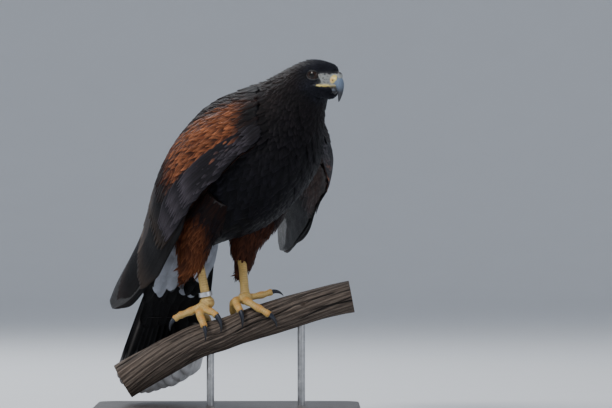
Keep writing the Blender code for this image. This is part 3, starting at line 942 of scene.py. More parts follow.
@dataclass
class FootSkin:
    """The bare lower leg and foot: one form of shank, palm and toes, with scutes and toe pads."""

    leg: str
    voxel: float = 0.72
    shank_scute: float = 2.9
    toe_scute: float = 2.5
    relief: float = 0.34
    yellow: Colour = (0.62, 0.42, 0.14)
    orange: Colour = (0.62, 0.28, 0.045)
    groove: Colour = (0.32, 0.17, 0.05)

    def parts(self) -> list[Array]:
        """Closed rings of the shank, the palm and the toes, before they are melted together."""
        heel, foot = world(HEELS[self.leg]), world(FEET[self.leg])
        turns = full_turn(20)
        share = np.linspace(-0.06, 1, 26)
        path = heel + (foot - heel) * share[:, None]
        path = path - world_turn(AHEAD) * (7 * (1 - ramp(share, -0.06, 0.42)))[:, None]
        width = np.interp(share, (0, 0.15, 0.5, 0.84, 1), (6.4, 5.1, 4.7, 5, 6.2))
        parts = [self.tube(path, width, width * 1.14, world_turn(np.array([1, 0, 0.2])), turns)]
        lift = np.linspace(-0.96, 0.96, 14)
        radius = np.sqrt(1 - lift**2)[:, None, None]
        flat = np.stack([np.cos(turns), np.sin(turns), np.zeros(len(turns))], axis=-1)
        ball = (flat[None] * radius + UP * lift[:, None, None]) * PALM_RADII
        parts.append(capped(ball + foot))
        for toe in TOES[self.leg]:
            line = toe_path(self.leg, toe, 34)
            share = np.linspace(0, 1, 34)
            knob = sum(hump(share, place, 0.085) for place in (0.34, 0.66, 0.93))
            radii = np.interp(share, (0, 0.5, 1), TOE_RADII) * (0.93 + 0.13 * knob)
            overall = unit(line[-1] - line[0])
            square = np.cross(overall, unit(np.cross(UP, overall)))
            parts.append(self.tube(line, radii, radii * (0.9 + 0.1 * knob), square, turns))
        return parts

    @staticmethod
    def tube(path: Array, wide: Array, high: Array, hint: Array, turns: Array) -> Array:
        """Closed rings of an elliptical tube along a path."""
        _, side, rise = tube_frames(path, hint)
        ring = side[:, None] * (wide[:, None] * np.cos(turns))[..., None]
        return capped(path[:, None] + ring + rise[:, None] * (high[:, None] * np.sin(turns))[..., None])

    def melted(self) -> Arrays:
        """The parts remade as one even skin by a voxel remesh, with its points, faces and normals."""
        points, faces, count = [], [], 0
        for rings in self.parts():
            grid = tube_faces(*rings.shape[:2]) + count
            flat = rings.reshape(-1, 3)
            points.append(flat)
            faces.append(outward(np.concatenate(points), grid) if count else outward(flat, grid))
            count += len(flat)
        mesh = mesh_of("melt", np.concatenate(points), np.concatenate(faces))
        lump = shown("melt", mesh)
        melt = lump.modifiers.new("melt", "REMESH")
        melt.mode, melt.voxel_size = "VOXEL", self.voxel * MM
        smooth = lump.modifiers.new("even", "SMOOTH")
        smooth.factor, smooth.iterations = 0.5, 3
        done = lump.evaluated_get(bpy.context.evaluated_depsgraph_get()).to_mesh()
        place, normal = np.empty(len(done.vertices) * 3), np.empty(len(done.vertices) * 3)
        done.vertices.foreach_get("co", place)
        done.vertex_normals.foreach_get("vector", normal)
        corners = np.empty(len(done.loops), np.int32)
        done.loops.foreach_get("vertex_index", corners)
        bpy.data.objects.remove(lump)
        bpy.data.meshes.remove(mesh)
        return place.reshape(-1, 3) / MM, corners.reshape(-1, 4), normal.reshape(-1, 3)

    def guides(self) -> Arrays:
        """Samples of the middle lines: point, upper direction, arc over scute length, joint share."""
        heel, foot = world(HEELS[self.leg]), world(FEET[self.leg])
        share = np.linspace(0, 0.93, 90)
        path = heel + (foot - heel) * share[:, None]
        tops = np.broadcast_to(world_turn(AHEAD), path.shape)
        arc = share * np.linalg.norm(foot - heel) / self.shank_scute
        lines = [(path, tops, arc, np.zeros(90))]
        for toe in TOES[self.leg]:
            line = toe_path(self.leg, toe, 80)
            steps = np.linalg.norm(np.diff(line, axis=0), axis=1)
            arc = np.concatenate([[0], np.cumsum(steps)]) / self.toe_scute
            centre = np.array([branch_at(x)[0] for x in line[::8, 0]])
            away = unit(line[::8] - centre)
            tops = unit(through(away, np.linspace(0, len(away) - 1, 80)) + 0.4 * UP)
            share = np.linspace(0, 1, 80)
            joint = sum(hump(share, place, 0.1) for place in (0.34, 0.66, 0.95))
            lines.append((line, tops, arc, joint))
        return tuple(np.concatenate([line[k] for line in lines]) for k in range(4))

    def build(self) -> Arrays:
        """Points, faces and colours, with the scutes raised along the top of each middle line."""
        points, faces, normals = self.melted()
        line, tops, arc, joint = self.guides()
        apart = (points**2).sum(1)[:, None] + (line**2).sum(1)[None] - 2 * points @ line.T
        near = apart.argmin(axis=1)
        facing = np.sum(unit(points - line[near]) * tops[near], axis=1)
        upper = ramp(facing, 0.05, 0.5)
        plate = np.abs(np.sin(pi * arc[near])) ** 0.45
        points = points + normals * (self.relief * (plate - 0.7) * upper)[:, None]
        colour = mixed(self.yellow, self.orange, 0.75 * joint[near] * upper)
        colour = mixed(colour, self.groove, (1 - plate) * (0.25 + 0.6 * upper))
        colour = mixed(colour, self.yellow, 0.35 * (1 - upper))
        return points, faces, colour


def world_turn(direction: Array) -> Array:
    """A direction of the bird's frame, in the world."""
    return direction @ np.array([FORWARD, LEFT, UP])


@dataclass
class Lids:
    """Both lids of one eye: a fold that hugs the ball round an almond-shaped opening."""

    side: int
    gaze: Triple = (0.40, 0.91, -0.04)
    half_length: float = 7.4
    half_height: float = 4.2
    # The upper and front lid's near-black is partly the lid's dark skin and partly the brow's shadow, painted
    # in
    lid: Colour = (0.004, 0.004, 0.004)
    lower_lid: Colour = (0.022, 0.021, 0.024)
    section: tuple[Pair, ...] = (
        (0, 0.02), (0.03, 0.40), (0.10, 0.65), (0.19, 0.60), (0.26, 0.30), (0.34, 0.42), (0.55, 0.10),
        (1, -0.3), (1, -0.9), (0.5, -0.7), (0.1, -0.4),
    )

    def axes(self) -> Arrays:
        """Gaze, ahead and up directions of the eye."""
        gaze = unit(np.array(self.gaze) * np.array([1, self.side, 1]))
        ahead = unit(np.array([1, 0, -0.1]) - gaze * (np.array([1, 0, -0.1]) @ gaze))
        return gaze, ahead, np.cross(gaze, ahead) * -self.side

    def centre(self) -> Array:
        """The ball's centre."""
        return HEAD_CENTRE + np.array([EYE_AT[0], self.side * EYE_AT[1], EYE_AT[2]])

    def build(self) -> Arrays:
        """Points, faces and colours of the fold: a closed section swept round the opening's ellipse."""
        gaze, ahead, up = self.axes()
        round_it = full_turn(64)
        brow = 1 + 0.05 * np.cos(round_it)
        wide, tall = np.cos(round_it) / self.half_length, np.sin(round_it) / self.half_height
        reach = 1 / np.sqrt(wide**2 + tall**2)
        start = np.arcsin(np.clip(reach * brow / EYE_RADIUS, 0, 0.97))
        share, height = np.array(self.section).T
        outer = radians(84)
        angle = start[:, None] + (outer - start)[:, None] * share[None]
        radius = EYE_RADIUS + height[None] + 0.25 * np.maximum(np.sin(round_it), 0)[:, None] * (height > 0)
        rim = ahead * np.cos(round_it)[:, None] + up * np.sin(round_it)[:, None]
        rings = (
            self.centre()
            + gaze * (radius * np.cos(angle))[..., None]
            + rim[:, None] * (radius * np.sin(angle))[..., None]
        )
        # Painted shade: the lid is darkest above and in front, under the brow, and lighter below and behind
        lower = ramp(-np.sin(round_it) - 0.5 * np.cos(round_it), 0.1, 0.9)
        dark = mixed(self.lid, self.lower_lid, lower)
        colour = np.broadcast_to(dark[:, None], rings.shape).reshape(-1, 3)
        points = rings.reshape(-1, 3)
        return points, outward(points, hoop_faces(*rings.shape[:2])), colour


@dataclass
class Skin:
    """The one skin under the plumage, bare on the face, the lower legs and the feet."""

    under_feather: Colour = (0.006, 0.005, 0.005)
    chestnut: Colour = (0.012, 0.006, 0.004)
    lore: Colour = (0.27, 0.28, 0.27)
    gape: Colour = (0.82, 0.64, 0.20)
    chin: Colour = (0.03, 0.03, 0.035)

    def face_colour(self, points: Array) -> Array:
        """Markings of the bare face: pale lores, the mouth's yellow lip and a grey chin."""
        ahead, _, up = head_places(points)
        colour = np.broadcast_to(np.array(self.under_feather), points.shape)
        colour = mixed(colour, self.lore, lore_share(points) * ramp(up, -17, -14.5))
        colour = mixed(colour, self.chin, ramp(ahead, 18, 24) * (1 - ramp(up, -18.6, -16.5)))
        return mixed(colour, self.gape, np.clip(1.3 * gape_share(points), 0, 1))

    def body(self) -> Arrays:
        """Trunk, neck and head, with wrinkles on the lores and the lip of the mouth raised."""
        rows = np.concatenate([np.linspace(0, 5, 130, endpoint=False), np.linspace(5, LAST_STATION, 80)])
        turns = full_turn(168)
        rings = BodyForm().rings(rows / LAST_STATION, turns)
        ahead, _, up = head_places(rings)
        lip = 0.7 * gape_share(rings) - 0.7 * gape_share(rings + np.array([0, 0, 2.2]))
        wrinkle = 0.16 * np.sin(1.9 * ahead + 0.8 * np.sin(1.1 * up)) * lore_share(rings)
        rings[..., 1] += np.sign(rings[..., 1]) * (lip + wrinkle) * ramp(ahead, 2, 8)
        colour = self.face_colour(rings)
        return (*closed_tube(capped(rings)), held_ends(colour).reshape(-1, 3))

    def shells(self) -> list[Arrays]:
        """Wings, tail and trousers."""
        plain, warm = np.array(self.under_feather), np.array(self.chestnut)
        forms = [(wing.shell(), plain) for wing in WINGS.values()]
        forms.append((TailForm().shell(), plain))
        forms += [(TrouserForm(name).shell(), warm) for name in TROUSERS]
        made = []
        for rings, colour in forms:
            points, faces = closed_tube(rings)
            made.append((points, faces, np.broadcast_to(colour, points.shape)))
        return made

    def build(self, surface: Material) -> Object:
        """Makes the skin's one piece.

        Args:
            surface: Its material.

        Returns:
            The object, standing for every node of flesh.
        """
        parts = [self.body()] + self.shells() + [Lids(side).build() for side in (-1, 1)]
        parts = [(world(points), faces, colour) for points, faces, colour in parts]
        parts += [FootSkin(leg).build() for leg in FEET]
        counts = np.cumsum([0] + [len(points) for points, _, _ in parts])
        points = np.concatenate([part[0] for part in parts])
        faces = np.concatenate([part[1] + count for part, count in zip(parts, counts)])
        mesh = mesh_of("skin", points, faces)
        paint_points(mesh, np.concatenate([part[2] for part in parts]))
        made = piece("skin", mesh, surface)
        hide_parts(*FLESH)
        return made


WINGS = {"right": WingForm(-1, lambda points: points), "left": WingForm(1, held_out)}
FLESH = ("head", "neck", "trunk", "tail", "wing_left", "wing_right", "trousers_left", "trousers_right",
         "tarsus_left", "tarsus_right", "foot_left", "foot_right")


class Finish:
    """A material's node tree, put together a node at a time."""

    def __init__(self, name: str, roughness: float, **constants: float) -> None:
        """Starts a finish with its constant values set on the shader's own sockets.

        Args:
            name: The material's name.
            roughness: The shader's roughness, which a node may take over.
            constants: More of the shader's sockets, named with underscores for spaces.
        """
        self.material = bpy.data.materials.new(name)
        self.material.use_nodes = True
        self.tree = self.material.node_tree
        self.shader = self.tree.nodes["Principled BSDF"]
        self.shader.inputs["Roughness"].default_value = roughness
        for socket, value in constants.items():
            self.shader.inputs[socket.replace("_", " ")].default_value = value

    def node(self, kind: str, **settings: object) -> bpy.types.Node:
        """Adds a node; a setting names one of its properties."""
        made = self.tree.nodes.new("ShaderNode" + kind)
        for name, value in settings.items():
            setattr(made, name, value)
        return made

    def link(self, out: Socket, into: Socket) -> None:
        """Joins two sockets."""
        self.tree.links.new(out, into)

    def feed(self, value: object, into: Socket) -> None:
        """Gives a socket another's output, or a plain value."""
        if isinstance(value, Socket):
            self.link(value, into)
        else:
            into.default_value = value

    def maths(self, operation: str, first: object, second: object = 0, third: object = 0) -> Socket:
        """Result of a sum on sockets or numbers."""
        made = self.node("Math", operation=operation)
        for value, into in zip((first, second, third), made.inputs):
            self.feed(value, into)
        return made.outputs[0]

    def noise(self, place: Socket, scale: float, detail: float = 3.0, rough: float = 0.5,
              distortion: float = 0.0) -> Socket:
        """Fractal noise of a place."""
        made = self.node("TexNoise")
        self.link(place, made.inputs["Vector"])
        names = ("Scale", "Detail", "Roughness", "Distortion")
        for name, value in zip(names, (scale, detail, rough, distortion)):
            made.inputs[name].default_value = value
        return made.outputs["Fac"]

    def object_place(self, stretch: Triple = (1, 1, 1),
                     turn: Triple = (0, 0, 0)) -> Socket:
        """The surface's own place on the object, stretched and turned."""
        mapping = self.node("Mapping")
        self.link(self.node("TexCoord").outputs["Object"], mapping.inputs["Vector"])
        mapping.inputs["Scale"].default_value = stretch
        mapping.inputs["Rotation"].default_value = turn
        return mapping.outputs["Vector"]

    def pigment(self) -> Socket:
        """The colour painted on the mesh's points."""
        return self.node("VertexColor", layer_name=PIGMENT).outputs["Color"]

    def span(self, value: object, low: float, high: float, to_low: float, to_high: float) -> Socket:
        """A value carried from one span of numbers to another."""
        made = self.node("MapRange")
        self.feed(value, made.inputs["Value"])
        for name, number in zip(("From Min", "From Max", "To Min", "To Max"), (low, high, to_low, to_high)):
            made.inputs[name].default_value = number
        return made.outputs["Result"]

    def blend(self, low: object, high: object, share: object, kind: str = "MIX") -> Socket:
        """Two colours blended by a share."""
        made = self.node("Mix", data_type="RGBA", blend_type=kind)
        self.feed(share, made.inputs["Factor"])
        self.feed(self.solid(low), made.inputs[6])
        self.feed(self.solid(high), made.inputs[7])
        return made.outputs[2]

    @staticmethod
    def solid(colour: object) -> object:
        """A colour of three numbers with its fourth, or a socket as it is."""
        return (*colour, 1) if isinstance(colour, tuple) and len(colour) == 3 else colour

    def shade(self, colour: Socket, amount: Socket) -> Socket:
        """A colour made lighter or darker by a number."""
        made = self.node("VectorMath", operation="SCALE")
        self.link(colour, made.inputs[0])
        self.link(amount, made.inputs["Scale"])
        return made.outputs["Vector"]

    def relief(self, height: Socket, strength: float, distance: float) -> None:
        """Bump from a height, in metres of distance, onto the shader."""
        bump = self.node("Bump")
        bump.inputs["Strength"].default_value = strength
        bump.inputs["Distance"].default_value = distance
        self.link(height, bump.inputs["Height"])
        self.link(bump.outputs["Normal"], self.shader.inputs["Normal"])

    def colour(self, colour: object) -> None:
        """Sets the shader's base colour."""
        self.feed(self.solid(colour), self.shader.inputs["Base Color"])


@dataclass(frozen=True)
class PlumageFinish:
    """Feather: painted pigment, barbs that slant away from the shaft, and a soft gloss."""

    name: str = "plumage"
    roughness: float = 0.55
    sheen: float = 0.012
    barb: float = 1.15
    slant: float = 1.3

    def build(self) -> Material:
        """Makes the material; a barb's phase is the place along the vane less a slant of that across."""
        made = Finish(self.name, self.roughness, Sheen_Weight=self.sheen, Sheen_Roughness=0.45)
        made.shader.inputs["Sheen Tint"].default_value = (0.75, 0.82, 1, 1)
        made.shader.inputs["Specular IOR Level"].default_value = 0.09
        split = made.node("SeparateXYZ")
        made.link(made.node("UVMap", uv_map=VANE_MAP).outputs["UV"], split.inputs[0])
        away = made.maths("ABSOLUTE", split.outputs[0])
        phase = made.maths("SUBTRACT", split.outputs[1], made.maths("MULTIPLY", away, self.slant))
        rough_place = made.noise(made.object_place(), 420, 2)
        phase = made.maths("ADD", phase, made.maths("MULTIPLY", rough_place, 0.9))
        wave = made.maths("SINE", made.maths("MULTIPLY", phase, 2 * pi / self.barb))
        large = made.noise(made.object_place(), 70, 3)
        tone = made.maths("ADD", made.span(large, 0.3, 0.7, 0.78, 1.18), made.maths("MULTIPLY", wave, 0.10))
        made.colour(made.shade(made.pigment(), tone))
        made.link(made.span(large, 0.3, 0.7, self.roughness - 0.08, self.roughness + 0.1),
                  made.shader.inputs["Roughness"])
        shaft = made.maths("MULTIPLY", made.maths("LESS_THAN", away, 0.35), 0.8)
        made.relief(made.maths("ADD", made.maths("MULTIPLY", wave, 0.5), shaft), 0.35, 0.0004)
        return made.material


@dataclass(frozen=True)
class SkinFinish:
    """Bare skin: painted markings, fine pebbled scales and a waxy gloss."""

    name: str = "bare_skin"
    roughness: float = 0.42
    pebbles: float = 900.0

    def build(self) -> Material:
        """Makes the material; the pebbles are cells of the place on the object."""
        made = Finish(self.name, self.roughness, Subsurface_Weight=0.08, Subsurface_Scale=0.0015)
        made.shader.inputs["Subsurface Radius"].default_value = (1, 0.4, 0.15)
        cells = made.node("TexVoronoi", feature="DISTANCE_TO_EDGE")
        made.link(made.object_place(), cells.inputs["Vector"])
        cells.inputs["Scale"].default_value = self.pebbles
        edge = made.span(cells.outputs["Distance"], 0, 0.12, 0, 1)
        blotch = made.noise(made.object_place(), 160, 4)
        tone = made.maths("MULTIPLY", made.span(blotch, 0.3, 0.7, 0.84, 1.1), made.span(edge, 0, 1, 0.82, 1))
        made.colour(made.shade(made.pigment(), tone))
        made.link(made.span(blotch, 0.3, 0.7, 0.34, 0.52), made.shader.inputs["Roughness"])
        made.relief(edge, 0.4, 0.00025)
        return made.material


@dataclass(frozen=True)
class HornFinish:
    """Horn of bill and claws: painted colour, faint growth lines and a worn polish."""

    name: str = "horn"
    roughness: float = 0.34

    def build(self) -> Material:
        """Makes the material."""
        made = Finish(self.name, self.roughness, Coat_Weight=0.08, Coat_Roughness=0.25)
        streak = made.noise(made.object_place((1, 1, 0.35)), 520, 4, 0.6)
        large = made.noise(made.object_place(), 220, 2)
        made.colour(made.shade(made.pigment(), made.span(streak, 0.3, 0.7, 0.82, 1.15)))
        made.link(made.span(large, 0.3, 0.7, 0.28, 0.48), made.shader.inputs["Roughness"])
        made.relief(streak, 0.15, 0.0002)
        return made.material


@dataclass(frozen=True)
class EyeFinish:
    """Wet eye: painted iris and pupil under a clear coat."""

    name: str = "wet_eye"

    def build(self) -> Material:
        """Makes the material."""
        made = Finish(self.name, 0.24, Coat_Weight=0.10, Coat_Roughness=0.05, IOR=1.30)
        fleck = made.noise(made.object_place(), 1800, 3)
        made.colour(made.shade(made.pigment(), made.span(fleck, 0.3, 0.7, 0.75, 1.25)))
        return made.material


@dataclass(frozen=True)
class MetalFinish:
    """Bare metal: brushed along one direction, or worn all over."""

    name: str
    tint: Colour
    roughness: float
    stretch: Triple = (1, 1, 1)

    def build(self) -> Material:
        """Makes the material."""
        made = Finish(self.name, self.roughness, Metallic=1)
        brushed = made.noise(made.object_place(self.stretch), 900, 4, 0.6)
        worn = made.noise(made.object_place(), 130, 4, 0.6)
        dull = tuple(0.72 * value for value in self.tint)
        made.colour(made.blend(dull, self.tint, made.span(worn, 0.3, 0.65, 0, 1)))
        made.link(made.span(worn, 0.3, 0.7, self.roughness + 0.12, self.roughness - 0.06),
                  made.shader.inputs["Roughness"])
        made.relief(brushed, 0.2, 0.0001)
        return made.material


@dataclass(frozen=True)
class BarkFinish:
    """Weathered wood without bark: grey-brown fibre along the branch, with painted shade dark in its cracks.
    """

    name: str = "weathered_wood"

    def build(self) -> Material:
        """Makes the material; its fibres are noise of a place that is squeezed along the branch."""
        made = Finish(self.name, 0.86)
        place = made.node("Attribute", attribute_name="Grain").outputs["Vector"]
        fibre = made.noise(place, 1.1, 6, 0.62, 0.35)
        broad = made.noise(place, 0.16, 4, 0.6, 0.6)
        fine = made.noise(place, 4.5, 3, 0.6)
        wide = made.span(fibre, 0.3, 0.7, 0.5, 1.35)
        tone = made.maths("MULTIPLY", wide, made.span(broad, 0.3, 0.7, 0.72, 1.2))
        tone = made.maths("MULTIPLY", tone, made.span(fine, 0.3, 0.7, 0.82, 1.15))
        made.colour(made.shade(made.pigment(), tone))
        made.relief(made.maths("ADD", fibre, made.maths("MULTIPLY", fine, 0.35)), 0.7, 0.0012)
        return made.material


@dataclass(frozen=True)
class BaseWoodFinish:
    """The stand's dark varnished wood, grained along its length."""

    name: str = "stand_wood"
    dark: Colour = (0.012, 0.007, 0.004)
    light: Colour = (0.045, 0.024, 0.013)

    def build(self) -> Material:
        """Makes the material."""
        made = Finish(self.name, 0.42, Coat_Weight=0.35, Coat_Roughness=0.25)
        grain = made.noise(made.object_place((6, 90, 40)), 1.6, 5, 0.6, 1.2)
        pore = made.noise(made.object_place((30, 900, 300)), 1.5, 2)
        made.colour(made.blend(self.dark, self.light, made.span(grain, 0.35, 0.65, 0, 1)))
        made.link(made.span(pore, 0.3, 0.7, 0.34, 0.5), made.shader.inputs["Roughness"])
        made.relief(pore, 0.15, 0.0002)
        return made.material


def solid_piece(name: str, rings: Array, colours: Array, surface: Material, slot: str,
                *nodes: str) -> Object:
    """A closed piece from rings in the world.

    Args:
        name: The piece's name.
        rings: Rows by columns of points, closed at both ends.
        colours: A colour for each point, or one for all.
        surface: Its material.
        slot: The name of a material slot; not used.
        nodes: The nodes that it stands for.

    Returns:
        The object.
    """
    mesh = mesh_of(name, *closed_tube(rings))
    paint_points(mesh, np.broadcast_to(colours, rings.shape).reshape(-1, 3))
    made = piece(name, mesh, surface)
    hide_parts(*nodes)
    return made


@dataclass
class Bill:
    """The hooked bill in its two halves, with the yellow cere and nostrils on the upper one."""

    cere: Colour = (0.62, 0.50, 0.13)
    horn: Colour = (0.12, 0.165, 0.24)
    tip: Colour = (0.012, 0.013, 0.018)
    nostril: Colour = (0.02, 0.015, 0.01)
    lower: Colour = (0.065, 0.080, 0.105)
    cere_end: float = 2.0
    nostril_at: Pair = (1.3, 0.06)

    def rings(self, rows: Sequence, count: int, columns: int) -> Arrays:
        """Rings of one half in the bird's frame, ellipses square to its middle line, with their angles."""
        at = np.linspace(0, len(rows) - 1, count)
        read = through(rows, at)
        path = HEAD_CENTRE + np.column_stack([read[:, 0], np.zeros(count), read[:, 1]])
        travel = unit(np.gradient(path, axis=0))
        rise = np.cross(travel, SIDE)
        turns = full_turn(columns)
        ridge = 1 - 0.22 * np.maximum(np.sin(turns), 0) ** 2
        wide = (read[:, 2:3] * (np.cos(turns) * ridge)[None])[..., None]
        rings = path[:, None] + SIDE * wide
        rings = rings + rise[:, None] * (read[:, 3:4] * np.sin(turns)[None])[..., None]
        return rings, at, turns

    def upper_half(self, surface: Material) -> None:
        """Upper half: the cere is a soft swelling over the horn, the nostril a pit in it.

        Args:
            surface: The horn's material.
        """
        rings, at, turns = self.rings(UPPER_BILL, 90, 56)
        middle = rings.mean(axis=1)[:, None]
        away = unit(rings - middle)
        height = np.sin(turns)[None]
        edge = self.cere_end - 1.2 * ramp(-height, 0.15, 0.75) - 0.6 * ramp(height, 0.45, 0.95) - at[:, None]
        swell = 0.45 * ramp(edge, -0.06, 0.12)
        side_turn = np.abs(np.cos(turns))[None]
        rising = np.arctan2(height, side_turn)
        pit = hump(at[:, None], self.nostril_at[0], 0.17) * hump(rising, self.nostril_at[1], 0.17)
        flush = hump(at[:, None], self.nostril_at[0] - 0.3, 0.5) * hump(rising, self.nostril_at[1], 0.45)
        notch = 0.35 * hump(at[:, None], 3.3, 0.22) * ramp(-height, 0.55, 0.9)
        rings = rings + away * (swell - 1.3 * pit ** 2 - notch)[..., None]
        dark = ramp(at[:, None], 2.6, 5.0) * np.ones_like(height)
        ridge = 0.5 * ramp(height, 0.6, 1) * ramp(at[:, None], 2, 4)
        colour = mixed(self.horn, self.tip, np.maximum(dark, ridge))
        colour = mixed(colour, self.cere, ramp(edge, -0.08, 0.08))
        colour = mixed(colour, (0.62, 0.30, 0.20), 0.55 * flush * ramp(edge, -0.08, 0.08))
        colour = mixed(colour, self.nostril, ramp(pit, 0.35, 0.65))
        solid_piece("bill_upper_horn", world(capped(rings)), held_ends(colour), surface, "horn", "bill_upper")

    def lower_half(self, surface: Material) -> None:
        """Lower half, tucked inside the upper one.

        Args:
            surface: The horn's material.
        """
        rings, at, _ = self.rings(LOWER_BILL, 36, 40)
        colour = mixed(self.lower, self.tip, ramp(at, 1.2, 2.8))[:, None] * np.ones((1, 40, 1))
        colour = mixed(colour, self.cere, 0.6 * (1.0 - ramp(at, 0.2, 0.9))[:, None] * np.ones((1, 40)))
        solid_piece("bill_lower_horn", world(capped(rings)), held_ends(colour), surface, "horn", "bill_lower")


@dataclass
class Eye:
    """One eyeball, with a dark iris round a round pupil, and the swell of the cornea over them."""

    side: int
    iris: Colour = (0.020, 0.009, 0.006)
    pupil: Colour = (0.002, 0.002, 0.002)
    white: Colour = (0.012, 0.009, 0.008)
    iris_angle: float = radians(50.0)
    pupil_angle: float = radians(22.0)

    def build(self, surface: Material) -> None:
        """Makes the ball as rings of latitude round the gaze, the colours by their angle from it.

        Args:
            surface: The eye's material.
        """
        lids = Lids(self.side)
        gaze, ahead, up = lids.axes()
        angle = np.linspace(0.004, pi - 0.004, 56)
        turns = full_turn(64)
        radius = EYE_RADIUS * (0.985 + 0.035 * hump(angle, 0, 0.62))
        rim = ahead * np.cos(turns)[:, None] + up * np.sin(turns)[:, None]
        rings = lids.centre() + gaze * (radius * np.cos(angle))[:, None, None]
        rings = rings + rim[None] * (radius * np.sin(angle))[:, None, None]
        spokes = 0.12 * np.sin(23 * turns)[None] * hump(angle, 0.6, 0.3)[:, None]
        colour = mixed(self.pupil, self.iris, ramp(angle, self.pupil_angle - 0.03, self.pupil_angle + 0.03))
        colour = mixed(colour, self.white, ramp(angle, self.iris_angle - 0.1, self.iris_angle + 0.05))
        name = "right" if self.side < 0 else "left"
        shades = colour[:, None] * (1 + spokes)[..., None]
        solid_piece(f"eye_{name}_ball", world(rings), shades, surface, "eye", f"eye_{name}")


@dataclass
class Claws:
    """The eight claws, black and strongly curved, each a tapering tube bent down at the toe's end."""

    base: Colour = (0.011, 0.016, 0.030)
    tip: Colour = (0.003, 0.004, 0.009)

    def claw(self, leg: str, toe: str, surface: Material) -> None:
        """Makes one claw: the path is an arc of the toe's curl, the radius falls as share to the 1.4.

        Args:
            leg: The side of the leg.
            toe: The toe's name.
            surface: The horn's material.
        """
        line = toe_path(leg, toe, 7)
        ahead = unit(line[-1] - line[-2])
        down = unit(-UP + ahead * (UP @ ahead))
        side = np.cross(down, ahead)
        length, radius, bent = CLAW_LENGTH[toe], CLAW_RADIUS[toe], radians(CLAW_CURL[toe])
        share = np.linspace(0, 1, 26)
        curl = bent * share
        travel = ahead * np.cos(curl)[:, None] + down * np.sin(curl)[:, None]
        rise = np.cross(travel, side)
        bend = length / bent
        path = line[-1] + (ahead * np.sin(curl)[:, None] + down * (1 - np.cos(curl))[:, None]) * bend
        path = path + ahead * (CLAW_GAP - 1.2 * (1 - share))[:, None]
        taper = (radius * (1 - share**1.4) + 0.25)[:, None, None]
        turns = full_turn(18)[None, :, None]
        flank = 0.82 * (1 - 0.12 * np.cos(2 * turns))
        rings = path[:, None] + (side * np.cos(turns) * flank + rise[:, None] * np.sin(turns)) * taper
        colour = mixed(self.base, self.tip, ramp(share, 0.1, 0.7))[:, None] * np.ones((1, 18, 1))
        name = f"claw_{toe}_{leg}"
        solid_piece(f"{name}_horn", capped(rings), held_ends(colour), surface, "horn", name)

    def build(self, surface: Material) -> None:
        """Makes them all."""
        for leg, toes in TOES.items():
            for toe in toes:
                self.claw(leg, toe, surface)


@dataclass
class LegBand:
    """The plain metal ring worn loose round the right leg."""

    power: float = 0.35

    def build(self, surface: Material) -> None:
        """Makes the ring: a rounded oblong section carried round a circle, leaning a little on the leg.

        Args:
            surface: The metal.
        """
        heel, foot = world(HEELS["right"]), world(FEET["right"])
        down = unit(foot - heel)
        centre = heel + (foot - heel) * BAND_PLACE
        side = unit(np.cross(down, LEFT))
        turn = full_turn(72)[:, None]
        circle = side * np.cos(turn) + np.cross(down, side) * np.sin(turn)
        corner = full_turn(24)
        wide = np.sign(np.cos(corner)) * np.abs(np.cos(corner)) ** self.power * BAND_WALL / 2
        tall = np.sign(np.sin(corner)) * np.abs(np.sin(corner)) ** self.power * BAND_HEIGHT / 2
        radius = BAND_RADIUS - BAND_WALL / 2 + wide
        rings = centre + circle[:, None] * radius[None, :, None] - down * tall[None, :, None]
        points = rings.reshape(-1, 3)
        mesh = mesh_of("leg_band_ring", points, outward(points, hoop_faces(72, 24)))
        made = piece("leg_band_ring", mesh, surface)
        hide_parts("leg_band")


